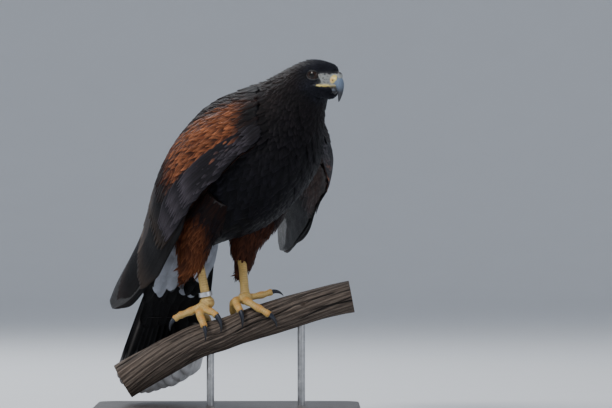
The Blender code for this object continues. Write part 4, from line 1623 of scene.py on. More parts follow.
@dataclass
class Perch:
    """The cut branch: barkless, twisted fibre with long cracks, knots and sawn ends."""

    rows: int = 420
    columns: int = 220
    grey: Colour = (0.150, 0.116, 0.092)
    brown: Colour = (0.046, 0.031, 0.023)
    # Near-black of the cracks: painted shade
    crack: Colour = (0.010, 0.007, 0.005)
    sawn: Colour = (0.24, 0.17, 0.10)
    cracks: int = 56

    def build(self, surface: Material) -> None:
        """Makes the branch: rings round the spline, lowered by cracks and ridged by twisted fibre.

        Each crack is a bell curve across the bark about a line that wanders along the branch, between
        two places where it fades in and out.

        Args:
            surface: The bark's material.
        """
        rng = np.random.default_rng(11)
        at = np.linspace(0, len(BRANCH) - 1, self.rows)
        read = through(BRANCH, at)
        path = read[:, :3]
        travel = unit(np.gradient(path, axis=0))
        front = FRONT
        top = unit(np.cross(front, travel))
        top *= np.sign(top[:, 2:3])
        turns = full_turn(self.columns)
        arc = np.concatenate([[0], np.cumsum(np.linalg.norm(np.diff(path, axis=0), axis=1))])
        uneven = 1 + 0.03 * np.sin(3 * turns[None] + at[:, None]) * np.cos(0.9 * at[:, None])
        radius = read[:, 3:4] * uneven
        twisted = turns[None] + 0.006 * arc[:, None]
        fibre = 0.28 * np.sin(23 * twisted + 1.7 * np.sin(0.045 * arc[:, None]))
        fibre = fibre + 0.22 * np.sin(41 * twisted + 2.3 * np.sin(0.03 * arc[:, None] + 1))
        depth = np.zeros_like(radius)
        for _ in range(self.cracks):
            place, start = rng.uniform(0, 2 * pi), rng.uniform(-30, arc[-1] - 20)
            length, deep = rng.uniform(40, 150), rng.uniform(0.7, 2.4)
            line = place - 0.006 * arc + 0.05 * np.sin(arc / rng.uniform(9, 17) + place)
            off = np.angle(np.exp(1j * (turns[None] - line[:, None]))) * radius
            fade = ramp(arc, start, start + 18) * (1 - ramp(arc, start + length - 18, start + length))
            depth = np.maximum(depth, deep * hump(off, 0, rng.uniform(0.5, 1.1)) * fade[:, None])
        knots = np.zeros_like(radius)
        for place, where, size, high in ((0.5, 0.20, 9, 1.6), (5.7, 0.33, 7, 1.3), (1.25, 0.80, 10, 1.8)):
            off = np.angle(np.exp(1j * (turns[None] - place))) * radius
            reach = np.sqrt(off**2 + (arc[:, None] - where * arc[-1]) ** 2)
            knots = knots + high * hump(reach, size, size * 0.6) - 1.1 * high * hump(reach, 0, size * 0.45)
        under_foot = 1 - 0.6 * ramp(np.cos(turns), 0.2, 0.7)[None]
        surface_radius = radius + (fibre + knots) * under_foot - depth
        rings = path[:, None] + (
            front * np.sin(turns)[None, :, None] + top[:, None] * np.cos(turns)[None, :, None]
        ) * surface_radius[..., None]
        colour = mixed(self.grey, self.brown, ramp(fibre, -0.4, 0.3))
        # Painted shade: the cracks are darkened by their depth
        colour = mixed(colour, self.crack, ramp(depth, 0.25, 1.3))
        colour = mixed(colour, self.brown, ramp(-knots, 0.2, 1.2))
        grain = np.stack([radius * np.cos(twisted), radius * np.sin(twisted),
                          0.09 * arc[:, None] * np.ones_like(radius)], axis=-1)
        face = np.array(self.sawn)[None, None] * (0.8 + 0.2 * np.cos(turns * 9))[None, :, None]
        ends = np.repeat(face, 4, axis=0)
        mesh = mesh_of("perch_branch", *closed_tube(capped(rings)))
        paint_points(mesh, np.concatenate([ends, colour, ends]).reshape(-1, 3))
        layer = mesh.attributes.new("Grain", "FLOAT_VECTOR", "POINT")
        layer.data.foreach_set("vector", held_ends(grain).astype(np.float32).ravel())
        made = piece("perch_branch", mesh, surface)
        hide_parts("perch")


@dataclass
class Stand:
    """The plain display stand: a wooden base with eased edges, and two steel rods."""

    corner: float = 26.0
    ease: float = 2.2

    def build(self, wood: Material, steel: Material) -> None:
        """Makes the base of rounded outlines, drawn in at its edges by a quarter circle; dresses the rods.

        Args:
            wood: The base's material.
            steel: The rods' material.
        """
        low, high = (np.array(corner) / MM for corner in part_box("stand_base"))
        middle, half = (low + high) / 2, (high - low) / 2
        turns = full_turn(160)
        arc = np.array([np.cos(turns), np.sin(turns)]).T
        quarter = np.linspace(0, pi / 2, 7)
        rows = []
        bottom = [(self.ease * 0.4 * (1 - sin(a)), self.ease * 0.4 * (1 - cos(a))) for a in quarter]
        top = [(self.ease * (1 - cos(a)), 2 * half[2] - self.ease * (1 - sin(a))) for a in quarter]
        for inset, height in bottom + top:
            core = half[:2] - self.corner
            outline = np.sign(arc) * core + arc * (self.corner - inset)
            rows.append(np.column_stack([outline + middle[:2], np.full(160, low[2] + height)]))
        rings = np.array(rows)
        caps = [mixed_ring(rings[0], share) for share in (0.9999, 0.6, 0.3)]
        lids = [mixed_ring(rings[-1], share) for share in (0.3, 0.6, 0.9999)]
        rings = np.concatenate([caps, rings, lids])
        solid_piece("stand_base_board", rings, (0.03, 0.02, 0.01), wood, "stand_wood", "stand_base")
        for name in ("stand_rod_low", "stand_rod_high"):
            rod = frame["nodes"][name]
            rod.data.materials.clear()
            rod.data.materials.append(steel)


def mixed_ring(ring: Array, share: float) -> Array:
    """A ring drawn in towards its middle by a share."""
    return ring + (ring.mean(axis=0) - ring) * share


class Tone(Enum):
    """The plumage's colours, as painted on its feathers."""

    # BLACK and BLACK_EDGE: dark feathers whose blue cast is a painted sheen
    BLACK = (0.0017, 0.0018, 0.0028)
    BLACK_EDGE = (0.0058, 0.0055, 0.0085)
    BROWN = (0.0066, 0.0050, 0.0057)
    BROWN_EDGE = (0.0190, 0.0135, 0.0125)
    RUFOUS = (0.100, 0.027, 0.011)
    RUFOUS_EDGE = (0.250, 0.088, 0.038)
    CHESTNUT = (0.052, 0.0145, 0.006)
    CHESTNUT_EDGE = (0.150, 0.050, 0.020)
    # DEEP_CHESTNUT is dark chestnut for covert rims and underwing coverts; with the edge tone below it also
    # paints the left leg's chestnut in painted shade
    DEEP_CHESTNUT = (0.028, 0.009, 0.005)
    SHADED_CHESTNUT_EDGE = (0.062, 0.021, 0.011)
    QUILL = (0.0055, 0.0050, 0.0054)
    QUILL_EDGE = (0.030, 0.022, 0.018)
    SLATE = (0.0120, 0.0108, 0.0140)
    SLATE_EDGE = (0.050, 0.043, 0.052)
    TERTIAL = (0.034, 0.029, 0.028)
    TERTIAL_EDGE = (0.082, 0.064, 0.054)
    # HEAD and HEAD_EDGE: dark feathers whose blue cast is a painted sheen
    HEAD = (0.0058, 0.0060, 0.0092)
    HEAD_EDGE = (0.0160, 0.0165, 0.0240)
    TAIL = (0.0030, 0.0026, 0.0031)
    WHITE = (0.86, 0.86, 0.88)
    # White coverts painted grey-blue: painted shade
    SHADED_WHITE = (0.42, 0.45, 0.52)
    PALE_SHAFT = (0.30, 0.28, 0.26)

    def rows(self, count: int) -> Array:
        """The colour repeated, one row for each feather."""
        return np.tile(np.array(self.value), (count, 1))


def uneven(colour: Array, rng: Random, amount: float) -> Array:
    """Colours made lighter or darker at random, a feather at a time."""
    return colour * np.exp(rng.normal(0, amount, len(colour)))[:, None]


@dataclass
class BodyPlumage:
    """Feathers of head, neck and trunk, small and dense on the face and long on the belly."""

    seed: int = 5
    spacing: tuple[Pair, ...] = (
        (0, 8), (4, 6.6), (6, 5), (8, 3.1), (10, 1.9), (13, 1.35),
    )
    length: tuple[Pair, ...] = (
        (0, 38), (3, 31), (5, 26), (6, 20), (8, 12.5), (10, 6.4), (11.5, 4.4), (13, 2.8),
    )
    width: tuple[Pair, ...] = (
        (0, 15), (4, 12.5), (6, 9), (8, 5.4), (10, 2.9), (13, 1.5),
    )

    @staticmethod
    def at(table: tuple[Pair, ...], station: Array | float) -> Array:
        """A size read from its table at a station."""
        places, sizes = zip(*table)
        return np.interp(station, places, sizes)

    def places(self, form: SurfaceForm, rng: Random) -> Arrays:
        """Staggered rows of roots round the body, each as close as its feathers' width asks.

        Args:
            form: The skin's surface.
            rng: The source of their small unevenness.

        Returns:
            Shares along and round the body.
        """
        share, rows = 0.004, []
        while share < 0.995:
            station = LAST_STATION * (1 - share)
            here = form.read(np.full(24, share), np.arange(24) / 24.0)
            gap = float(self.at(self.spacing, station))
            count = int(here.across_scale.mean() / (0.52 * float(self.at(self.width, station))))
            turns = (np.arange(count) + 0.5 * (len(rows) % 2)) / count
            rows.append(np.column_stack([np.full(count, share), turns, np.full(count, gap)]))
            share += gap / here.along_scale.mean()
        places = np.concatenate(rows)
        jitter = rng.normal(0, 0.16, (len(places), 2))
        here = form.read(places[:, 0], places[:, 1])
        u = np.clip(places[:, 0] + jitter[:, 0] * places[:, 2] / here.along_scale, 0, 0.997)
        return u, places[:, 1] + jitter[:, 1] * places[:, 2] / here.across_scale

    def colours(self, normal: Array, station: Array) -> Arrays:
        """Base and edge colours by place: black below, browner on the back, the neck and the crown, with a
        painted bluish sheen in the black and head tones.
        """
        back = ramp(normal[:, 2], -0.1, 0.6)
        neck = hump(station, 7.5, 1.8)
        warm = np.clip(0.75 * back + 0.45 * neck, 0, 1)
        head = ramp(station, 8.2, 10)
        base = mixed(mixed(Tone.BLACK.value, Tone.BROWN.value, warm), Tone.HEAD.value, head)
        edge = mixed(Tone.BLACK_EDGE.value, Tone.BROWN_EDGE.value, warm)
        return base, mixed(edge, Tone.HEAD_EDGE.value, head)

    def roots(self, form: SurfaceForm) -> tuple[Roots, Array]:
        """All the roots, and the station of each."""
        rng = np.random.default_rng(self.seed)
        u, v = self.places(form, rng)
        station = LAST_STATION * (1 - u)
        here = form.read(u, v)
        count = len(u)
        length = self.at(self.length, station) * rng.uniform(0.85, 1.15, count)
        width = self.at(self.width, station) * rng.uniform(0.9, 1.15, count)
        depth = BodyForm().coat_depth(station)
        bare = np.maximum(lore_share(here.point), gape_share(here.point))
        length = length * (1 - 0.6 * bare)
        width = width * (1 - 0.65 * bare)
        high = (depth * (1 - bare) * 0.92 + 0.35) * rng.uniform(0.85, 1.12, count)
        base, edge = self.colours(here.normal, station)
        pale = mixed(base, (0.17, 0.175, 0.18), 0.75 * bare)
        ahead, _, up = head_places(here.point)
        brow = hump(up, EYE_AT[2] + 6.6, 2.2) * hump(ahead, EYE_AT[0] + 4, 9)
        chin = ramp(ahead, 16, 24) * (1 - ramp(up, -22, -19))
        vent = (1 - ramp(station, 0.8, 2)) * ramp(-here.normal[:, 2], 0.3, 0.8)
        high = high + 1.7 * brow + 2.2 * chin + 13 * vent
        length = length * (1 + 0.35 * brow + 0.45 * vent)
        made = Roots(
            u=u, v=v, turn=rng.normal(0, 0.10, count), length=length, width=width,
            low=np.full(count, 0.15) * depth, high=high,
            base=uneven(pale, rng, 0.16), edge=uneven(mixed(edge, base, 0.35 * rng.random(count)), rng, 0.2),
            centre=base * 0.8, bend=rng.normal(0, 0.12, count),
        )
        keep = self.clear_of_face(here.point, length, bare, rng)
        self.over_wings(form, made, station)
        return made.kept(keep), station[keep]

    @staticmethod
    def over_wings(form: SurfaceForm, made: Roots, station: Array) -> None:
        """Lengthens and lifts the feathers that end where a wing stands over the body, to lie on its edge.

        Args:
            form: The skin's surface.
            made: The feathers, changed in place.
            station: The station of each.
        """
        near = np.flatnonzero((station > 2) & (station < 7.4))
        reach = 1.12 * made.length[near]
        start = form.read(made.u[near], made.v[near])
        end = form.read(made.u[near] + reach / start.along_scale, made.v[near])
        for wing in WINGS.values():
            shares = np.meshgrid(np.linspace(-0.03, 0.9, 44), np.linspace(0, 1, 18), indexing="ij")
            outside = wing.surfaces()[0].read(shares[0].ravel(), shares[1].ravel()).point
            stands = []
            for place in (start, end):
                apart = outside[None] - place.point[:, None]
                height = np.sum(apart * place.normal[:, None], axis=-1)
                aside = np.linalg.norm(apart - height[..., None] * place.normal[:, None], axis=-1)
                stands.append(np.where((aside < 7) & (height > 0) & (height < 26), height, 0).max(axis=1))
            lifted = (stands[0] == 0) & (stands[1] > 0) & (end.normal[:, 2] < 0.62)
            chosen = near[lifted]
            made.length[chosen] = reach[lifted]
            made.high[chosen] = np.maximum(made.high[chosen], stands[1][lifted] + 2)

    @staticmethod
    def clear_of_face(point: Array, length: Array, bare: Array, rng: Random) -> Array:
        """Which roots neither stand in the eye's opening, nor reach it, nor crowd the bare lores."""
        ahead, _, up = head_places(point)
        x, z = ahead - EYE_AT[0] - 1.8, up - EYE_AT[2] + 0.4
        keep = (x / 7.2) ** 2 + (z / 4.6) ** 2 > 1
        for reach in (0.35, 0.7, 1):
            keep &= ((x - reach * length) / 6.6) ** 2 + (z / 3.9) ** 2 > 1
        keep &= (ahead < 28.5) | (up > -1.5)
        return keep & (rng.random(len(bare)) > 0.72 * ramp(bare, 0.2, 0.9))

    def build(self, surface: Material) -> None:
        """Makes the coats of trunk, neck and head.

        Args:
            surface: The feathers' material.
        """
        form = BodyForm().surface()
        roots, station = self.roots(form)
        trunk = Coat("plumage_trunk", "dark_plumage")
        trunk.grow(form, roots.kept(station < 6.3), CONTOUR)
        trunk.build(surface)
        neck = Coat("plumage_head", "dark_plumage")
        neck.grow(form, roots.kept((station >= 6.3) & (station < 9.3)), CONTOUR)
        neck.grow(form, roots.kept(station >= 9.3), SMALL)
        neck.build(surface)


Bed = tuple[Coat, SurfaceForm, Random]


def row_of(count: int, u: float, v: Pair, end_u: float | Pair,
           end_v: Pair) -> dict[str, Array]:
    """Starts and ends of a row of long feathers, evenly spread from its first to its last."""
    ends = end_u if isinstance(end_u, tuple) else (end_u, end_u)
    return {
        "u": np.full(count, u),
        "v": np.linspace(v[0], v[1], count),
        "end_u": np.linspace(ends[0], ends[1], count),
        "end_v": np.linspace(end_v[0], end_v[1], count),
    }


@dataclass
class WingPlumage:
    """Feathers of one wing: rufous lesser coverts, edged median and greater ones, and the quills."""

    name: str
    seed: int

    def long_row(self, bed: Bed, places: dict[str, Array], width: float, height: Pair, stack: float,
                 tones: tuple[Tone, Tone], shape: VaneShape, shaft: Tone = Tone.BLACK) -> None:
        """Grows a row of long feathers that end at set places.

        Args:
            bed: The coat, its surface and the source of unevenness.
            places: Where each starts and ends.
            width: Full width.
            height: Heights over the skin at root and tip.
            stack: How much higher the last feather of the row lies than the first.
            tones: Base and edge.
            shape: The kind of feather.
            shaft: The shaft's colour.
        """
        coat, form, rng = bed
        count = len(places["u"])
        start, end = form.read(places["u"], places["v"]), form.read(places["end_u"], places["end_v"])
        lifted = np.linspace(0, stack, count)
        end_u = places["end_u"] + rng.normal(0, 0.006, count)
        coat.grow(form, Roots(
            u=places["u"], v=places["v"], turn=np.zeros(count),
            length=np.linalg.norm(end.point - start.point, axis=1),
            width=width * rng.uniform(0.94, 1.06, count), low=height[0] + lifted, high=height[1] + lifted,
            base=uneven(tones[0].rows(count), rng, 0.10), edge=uneven(tones[1].rows(count), rng, 0.12),
            centre=shaft.rows(count), end_u=end_u, end_v=places["end_v"],
            bend=rng.normal(0, 0.02, count),
        ), shape)

    def small_rows(self, form: SurfaceForm, span: Pair, across: Pair, gap: float,
                   size: Pair, height: Pair, rng: Random) -> Roots:
        """Roots of a field of small feathers in staggered rows.

        Args:
            form: The surface.
            span: First and last share along the wing.
            across: First and last share across it.
            gap: Distance between rows.
            size: Length and full width.
            height: Heights over the skin at root and tip.
            rng: The source of unevenness.

        Returns:
            The roots, in the rufous tones.
        """
        share, rows = span[0], []
        while share < span[1]:
            here = form.read(np.full(9, max(share, 0.0)), np.linspace(across[0], across[1], 9))
            count = int(here.across_scale.mean() * (across[1] - across[0]) / (0.55 * size[1]))
            steps = (np.arange(count) + 0.5 * (len(rows) % 2)) / count
            rows.append(np.column_stack([np.full(count, share), across[0] + (across[1] - across[0]) * steps]))
            share += gap / here.along_scale.mean()
        places = np.concatenate(rows)
        count = len(places)
        return Roots(
            u=places[:, 0] + rng.normal(0, 0.003, count), v=places[:, 1] + rng.normal(0, 0.008, count),
            turn=rng.normal(0, 0.10, count), length=size[0] * rng.uniform(0.85, 1.15, count),
            width=size[1] * rng.uniform(0.88, 1.12, count), low=np.full(count, height[0]),
            high=height[1] * rng.uniform(0.85, 1.15, count),
            base=uneven(Tone.RUFOUS.rows(count), rng, 0.22),
            edge=uneven(Tone.RUFOUS_EDGE.rows(count), rng, 0.22),
            centre=Tone.BROWN.rows(count), bend=rng.normal(0, 0.1, count),
        )

    def rufous_share(self, u: Array, v: Array) -> Array:
        """How rufous a covert is: a patch behind a dark shoulder, under a dark strip along the back."""
        patch = ramp(u - 0.06 * (1 - v), -0.085, -0.04) * (1 - ramp(u, 0.17, 0.25))
        patch = patch * ramp(v, 0.13, 0.27) * (1 - ramp(v, 0.64, 0.82))
        if self.name == "left":
            patch = patch * ramp(v, 0.45, 0.62) + 0.8 * hump(v, 0.02, 0.05) * ramp(u, 0.02, 0.08)
        return np.clip(patch, 0, 1)

    def outer(self, bed: Bed) -> None:
        """Feathers of the outer side, from the primaries, lowest, up to the small coverts of the shoulder."""
        coat, form, rng = bed
        quill, slate = (Tone.QUILL, Tone.QUILL_EDGE), (Tone.SLATE, Tone.SLATE_EDGE)
        tips = (1, 0.80) if self.name == "right" else (0.93, 0.78)
        primaries = row_of(9, 0.42, (0.02, 0.62), tips, (0.12, 0.80))
        self.long_row(bed, primaries, 20, (0.2, -0.3), 1, (Tone.TAIL, Tone.BROWN_EDGE), QUILL)
        secondaries = row_of(11, 0.27, (0, 0.70), (0.76, 0.62), (0.01, 0.66))
        self.long_row(bed, secondaries, 22, (0.6, 1.2), 0.8, quill, QUILL)
        tertials = row_of(5, 0.24, (0.58, 0.98), (0.64, 0.46), (0.52, 0.94))
        pale = (Tone.TERTIAL, Tone.TERTIAL_EDGE)
        self.long_row(bed, tertials, 26, (0.9, 2.2), 0.8, pale, QUILL, Tone.QUILL)
        greater = row_of(9, 0.27, (0.02, 0.46), (0.50, 0.46), (0.02, 0.44))
        self.long_row(bed, greater, 15, (1, 2.6), 0.4, quill, POINTED)
        greater = row_of(9, 0.27, (0.50, 0.98), (0.47, 0.41), (0.48, 0.95))
        self.long_row(bed, greater, 15, (1.4, 3), 0.4, pale, POINTED, Tone.QUILL)
        rows = ((0.20, 0.36, 3, Tone.BROWN_EDGE), (0.165, 0.315, 3.1, Tone.DEEP_CHESTNUT),
                (0.13, 0.275, 3.2, Tone.RUFOUS))
        for start, reach, high, rim in rows:
            median = row_of(20, start, (0.02, 0.99), reach, (0.02, 0.97))
            median["u"] = median["u"] + rng.normal(0, 0.010, 20)
            median["end_u"] = median["end_u"] + rng.normal(0, 0.014, 20)
            self.long_row(bed, median, 11.5, (1, high), 0.3, (Tone.BROWN, rim), POINTED)
        lesser = self.small_rows(form, (-0.05, 0.235), (0, 1), 5.4, (25, 9), (0.9, 3.3), rng)
        count = len(lesser.u)
        streak = rng.random(count) ** 1.4
        lesser.base = mixed(lesser.base, Tone.BROWN.value, 0.8 * streak)
        u = lesser.u + rng.normal(0, 0.008, count)
        dark = 1 - self.rufous_share(u, lesser.v + rng.normal(0, 0.03, count))
        cool = 1 - ramp(lesser.v, 0.15, 0.30)
        lesser.base = mixed(lesser.base, mixed(Tone.BLACK.value, Tone.SLATE.value, cool), dark)
        lesser.edge = mixed(lesser.edge, mixed(Tone.BROWN_EDGE.value, Tone.SLATE_EDGE.value, cool), dark)
        coat.grow(form, lesser, POINTED_SMALL)
        for start, reach in ((0.20, 0.44), (0.12, 0.35), (0.04, 0.26)):
            strip = row_of(9, start, (-0.01, 0.22), (reach, reach - 0.03), (0, 0.19))
            strip["u"] = strip["u"] + rng.normal(0, 0.012, 9)
            self.long_row(bed, strip, 8.5, (1.8, 3.8), 0.8, slate, POINTED, Tone.QUILL)

    def inner(self, bed: Bed) -> None:
        """Feathers of the under side: grey-black quills and dark chestnut coverts."""
        coat, form, rng = bed
        right = self.name == "right"
        first, across = (1, (0.18, 0.92)) if right else (0.90, (0.14, 0.84))
        quills = row_of(13, 0.26, (0.06, 0.94), (first, 0.62), across)
        self.long_row(bed, quills, 21 if right else 17, (0.2, 0.5), 0.8, (Tone.BLACK, Tone.TAIL), QUILL)
        coverts = self.small_rows(form, (-0.04, 0.42), (0.02, 0.98), 8.5, (30, 13), (0.4, 1.8), rng)
        deep = ramp(coverts.u, 0.34, 0.44)
        chestnut = Tone.DEEP_CHESTNUT.rows(len(coverts.u))
        coverts.base = mixed(uneven(chestnut * 0.35, rng, 0.3), Tone.BLACK.value, deep)
        coverts.edge = mixed(chestnut * 0.8, Tone.BLACK_EDGE.value, deep)
        coat.grow(form, coverts, CONTOUR)

    def build(self, surface: Material) -> None:
        """Makes the wing's coats.

        Args:
            surface: The feathers' material.
        """
        outer_form, inner_form = WINGS[self.name].surfaces()
        rng = np.random.default_rng(self.seed)
        upper = Coat(f"plumage_wing_{self.name}", "rufous_plumage")
        self.outer((upper, outer_form, rng))
        upper.build(surface, 0.3)
        under = Coat(f"plumage_underwing_{self.name}", "dark_plumage")
        self.inner((under, inner_form, rng))
        under.build(surface, 0.3)


@dataclass
class TailPlumage:
    """Twelve black tail feathers with white tips, and the white coverts over and under their roots, the under
    ones painted grey-blue as white in shade.
    """

    seed: int = 21
    feathers: int = 12
    white_from: float = 0.87

    def coverts(self, rows: Sequence[float], count: int, size: Pair, height: Pair, tone: Tone,
                rng: Random) -> Roots:
        """Roots of a few staggered rows of coverts.

        Args:
            rows: Shares along the tail where the rows stand.
            count: Feathers in a row.
            size: Length and full width.
            height: Heights over the skin at root and tip.
            tone: Their colour.
            rng: The source of unevenness.

        Returns:
            The roots.
        """
        u = np.repeat(np.array(rows), count)
        number = len(u)
        stagger = np.tile(np.arange(count), len(rows)) + 0.5 * np.repeat(np.arange(len(rows)) % 2, count)
        v = 0.08 + 0.84 * (stagger + 0.25) / count + rng.normal(0, 0.01, number)
        base = uneven(tone.rows(number), rng, 0.08)
        return Roots(
            u=u + rng.normal(0, 0.008, number), v=v, turn=rng.normal(0, 0.08, number),
            length=size[0] * rng.uniform(0.85, 1.1, number), width=size[1] * rng.uniform(0.9, 1.1, number),
            low=np.full(number, height[0]), high=height[1] * rng.uniform(0.9, 1.1, number),
            base=base, edge=base * 1.12, centre=base * 0.75, bend=rng.normal(0, 0.1, number),
        )

    def build(self, surface: Material) -> None:
        """Makes the tail's feathers and coverts.

        Args:
            surface: The feathers' material.
        """
        rng = np.random.default_rng(self.seed)
        upper, under, middle = TailForm().surfaces()
        fan = np.linspace(-1, 1, self.feathers)
        count = self.feathers
        tail = Coat("plumage_tail", "dark_plumage")
        roots = Roots(
            u=np.full(count, 0.04), v=0.5 + 0.38 * fan, turn=np.zeros(count), length=np.full(count, 232.0),
            width=35.0 - 3.0 * np.abs(fan), low=np.full(count, 0.4), high=1.4 - 2.8 * np.abs(fan),
            base=uneven(Tone.TAIL.rows(count), rng, 0.08), edge=Tone.BLACK_EDGE.rows(count),
            centre=mixed(Tone.BLACK.rows(count), Tone.PALE_SHAFT.value, ramp(np.abs(fan), 0.85, 0.99)),
            tip=Tone.WHITE.rows(count), tip_from=self.white_from + rng.normal(0, 0.004, count),
            end_u=0.995 + rng.normal(0, 0.004, count), end_v=0.5 + 0.435 * fan, bend=0.06 * fan,
        )
        tail.grow(middle, roots, RECTRIX)
        tail.build(surface, 0.35)
        coverts = Coat("plumage_tail_coverts", "dark_plumage")
        # Under coverts: white feathers painted grey-blue as painted shade
        low_rows = self.coverts(np.linspace(0.22, -0.02, 6), 6, (62, 27), (0.5, 3.6), Tone.SHADED_WHITE, rng)
        black_rows = self.coverts(np.linspace(0.40, 0.19, 5), 6, (62, 29), (0.4, 2.2), Tone.TAIL, rng)
        coverts.grow(under, black_rows, ROUNDED)
        gap = hump(low_rows.v, 0.55, 0.07)
        low_rows.base = mixed(low_rows.base, Tone.TAIL.value, gap)
        low_rows.edge = mixed(low_rows.edge, Tone.TAIL.value, gap)
        coverts.grow(under, low_rows, ROUNDED)
        # The lower hanging coverts are white feathers painted grey-blue as painted shade
        hangings = ((14, (0.20, 0.13), 0.80, Tone.TAIL), (20, (0.12, 0.07, 0.02), 0.60, Tone.SHADED_WHITE))
        for lift, rows, first, tone in hangings:
            hung = self.coverts(rows, 5, (60, 25), (0.35 * lift, lift), tone, rng)
            hung.v = first + (1.02 - first) * hung.v
            hung.turn = hung.turn - 0.34 * ramp(hung.v, 0.6, 0.95)
            coverts.grow(under, hung, ROUNDED)
        high_rows = self.coverts(np.linspace(0.10, -0.05, 5), 7, (58, 19), (0.4, 2.2), Tone.WHITE, rng)
        coverts.grow(upper, high_rows, COVERT)
        coverts.build(surface)


@dataclass
class TrouserPlumage:
    """Long loose chestnut feathers of one leg."""

    name: str
    seed: int
    tones: tuple[Tone, Tone]

    def build(self, surface: Material) -> None:
        """Makes the leg's coat, in rows down to the hanging tip.

        Args:
            surface: The feathers' material.
        """
        rng = np.random.default_rng(self.seed)
        form = TrouserForm(self.name).surface()
        share, rows = 0.0, []
        while share < 0.985:
            here = form.read(np.full(16, share), np.arange(16) / 16.0)
            count = max(7, int(here.across_scale.mean() / 4.2))
            turns = (np.arange(count) + 0.5 * (len(rows) % 2)) / count
            rows.append(np.column_stack([np.full(count, share), turns]))
            share += 5.2 / here.along_scale.mean()
        places = np.concatenate(rows)
        count = len(places)
        length = np.interp(places[:, 0], (0, 0.6, 1), (32, 28, 13)) * rng.uniform(0.8, 1.15, count)
        roots = Roots(
            u=places[:, 0] + rng.normal(0, 0.006, count), v=places[:, 1] + rng.normal(0, 0.008, count),
            turn=rng.normal(0, 0.13, count), length=length, width=rng.uniform(6.5, 9, count),
            low=np.full(count, 0.4), high=rng.uniform(2.2, 4.2, count),
            base=uneven(self.tones[0].rows(count), rng, 0.2),
            edge=uneven(self.tones[1].rows(count), rng, 0.2),
            centre=self.tones[0].rows(count) * 0.6, bend=rng.normal(0, 0.2, count),
        )
        here = form.read(roots.u, roots.v)
        place = here.point
        hanging = ramp(here.normal[:, 0], 0.1, 0.6) * hump(place[:, 2], HEELS[self.name][2] - 3, 11)
        hanging = hanging * (1 - ramp(roots.u, 0.55, 0.72))
        roots.length = roots.length * (1 + 0.45 * hanging)
        roots.high = roots.high + 5 * hanging
        dark = ramp(place[:, 2] + rng.normal(0, 3, count), 119, 135)
        if self.name == "right":
            dark = np.maximum(dark, ramp(place[:, 0] + place[:, 1] + rng.normal(0, 3, count), -28, -12))
        roots.base = mixed(roots.base, Tone.BLACK.value, dark)
        roots.edge = mixed(roots.edge, Tone.BLACK_EDGE.value, dark)
        coat = Coat(f"plumage_trousers_{self.name}", "rufous_plumage")
        coat.grow(form, roots, LOOSE)
        coat.build(surface)


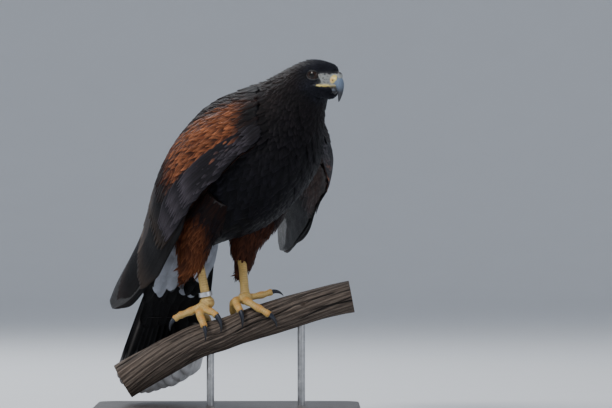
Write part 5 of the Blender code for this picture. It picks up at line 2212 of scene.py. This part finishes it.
@dataclass
class Studio:
    """Camera at the photo's place, a pale round bowl of floor and wall, and soft lights."""

    camera_at: Triple = (0.0936, -6.0, 0.2532)
    frame_width: float = 0.7344
    sensor: float = 36.0
    pale: Colour = (0.76, 0.78, 0.80)

    def camera(self) -> None:
        """Level camera whose picture is the frame's width wide where the perch stands."""
        made = bpy.data.cameras.new("camera")
        made.sensor_width = self.sensor
        made.lens = self.sensor * abs(self.camera_at[1]) / self.frame_width
        made.clip_end = 60
        thing = shown("camera", made)
        thing.location, thing.rotation_euler = self.camera_at, (pi / 2, 0, 0)
        bpy.context.scene.camera = thing

    def bowl(self) -> None:
        """Round floor that curves up into a wall all about: a flat disc, a quarter circle and a rise.

        The small hole in its middle is under the stand's board.
        """
        finish = Finish("floor_paint", 0.7)
        speck = finish.noise(finish.object_place(), 9, 3)
        finish.colour(finish.blend(tuple(0.97 * value for value in self.pale), self.pale, speck))
        bend = np.linspace(0, pi / 2, 24)
        flat, radius = 6.6, 2.4
        reach = np.concatenate([[0.02, 0.6, 2, 4.5], flat + radius * np.sin(bend), [flat + radius]]) / MM
        rise = np.concatenate([[0, 0, 0, 0], radius * (1 - np.cos(bend)), [7]]) / MM
        turns = full_turn(96)
        around = np.stack([np.cos(turns), np.sin(turns), np.zeros(96)], axis=-1)
        points = around[None] * reach[:, None, None] + UP * rise[:, None, None]
        faces = tube_faces(len(reach), 96)
        corner = points.reshape(-1, 3)[faces[0]]
        if np.cross(corner[1] - corner[0], corner[2] - corner[0])[2] < 0:
            faces = faces[:, ::-1]
        mesh = mesh_of("floor", points.reshape(-1, 3), faces)
        mesh.materials.append(finish.material)
        shown("floor", mesh)

    def light(self, name: str, place: Triple, size: float, power: float, tint: Colour) -> None:
        """One square soft light that looks at the bird."""
        made = bpy.data.lights.new(name, "AREA")
        made.shape, made.size, made.energy, made.color = "SQUARE", size, power, tint
        thing = shown(name, made)
        thing.location = place
        towards = np.array([0, -0.03, 0.25]) - np.array(place)
        level = float(np.hypot(towards[0], towards[1]))
        thing.rotation_euler = (pi / 2 + float(np.arctan2(towards[2], level)), 0,
                                float(np.arctan2(towards[1], towards[0])) - pi / 2)

    def build(self) -> None:
        """Makes all of it, with an even pale sky."""
        self.camera()
        self.bowl()
        sky = bpy.data.worlds.new("sky")
        sky.use_nodes = True
        sky.node_tree.nodes["Background"].inputs["Color"].default_value = (0.82, 0.88, 1, 1)
        sky.node_tree.nodes["Background"].inputs["Strength"].default_value = 0.5
        bpy.context.scene.world = sky
        self.light("key", (-2, -2, 2.8), 1.3, 105, (1, 0.98, 0.95))
        self.light("fill", (2.6, -2.6, 1.2), 1.8, 20, (0.92, 0.96, 1))
        self.light("rim", (-1.2, 2, 2.4), 1.4, 60, (0.95, 0.97, 1))


def main() -> None:
    """Builds the studio, the bird, its perch and the stand, in order."""
    logging.basicConfig(level=logging.INFO, format="%(name)s %(message)s")
    Studio().build()
    plumage, horn = PlumageFinish().build(), HornFinish().build()
    skin, eye = SkinFinish().build(), EyeFinish().build()
    band = MetalFinish("band_metal", (0.62, 0.63, 0.65), 0.34).build()
    steel = MetalFinish("rod_steel", (0.50, 0.50, 0.51), 0.30, (1, 1, 0.02)).build()
    Perch().build(BarkFinish().build())
    Stand().build(BaseWoodFinish().build(), steel)
    Skin().build(skin)
    Bill().upper_half(horn)
    Bill().lower_half(horn)
    for side in (-1, 1):
        Eye(side).build(eye)
    Claws().build(horn)
    LegBand().build(band)
    BodyPlumage().build(plumage)
    for seed, name in enumerate(WINGS):
        WingPlumage(name, 31 + seed).build(plumage)
    TailPlumage().build(plumage)
    TrouserPlumage("right", 41, (Tone.CHESTNUT, Tone.CHESTNUT_EDGE)).build(plumage)
    # The far, left leg's chestnut is painted darker, as painted shade
    TrouserPlumage("left", 42, (Tone.DEEP_CHESTNUT, Tone.SHADED_CHESTNUT_EDGE)).build(plumage)


if __name__ == "__main__":
    main()
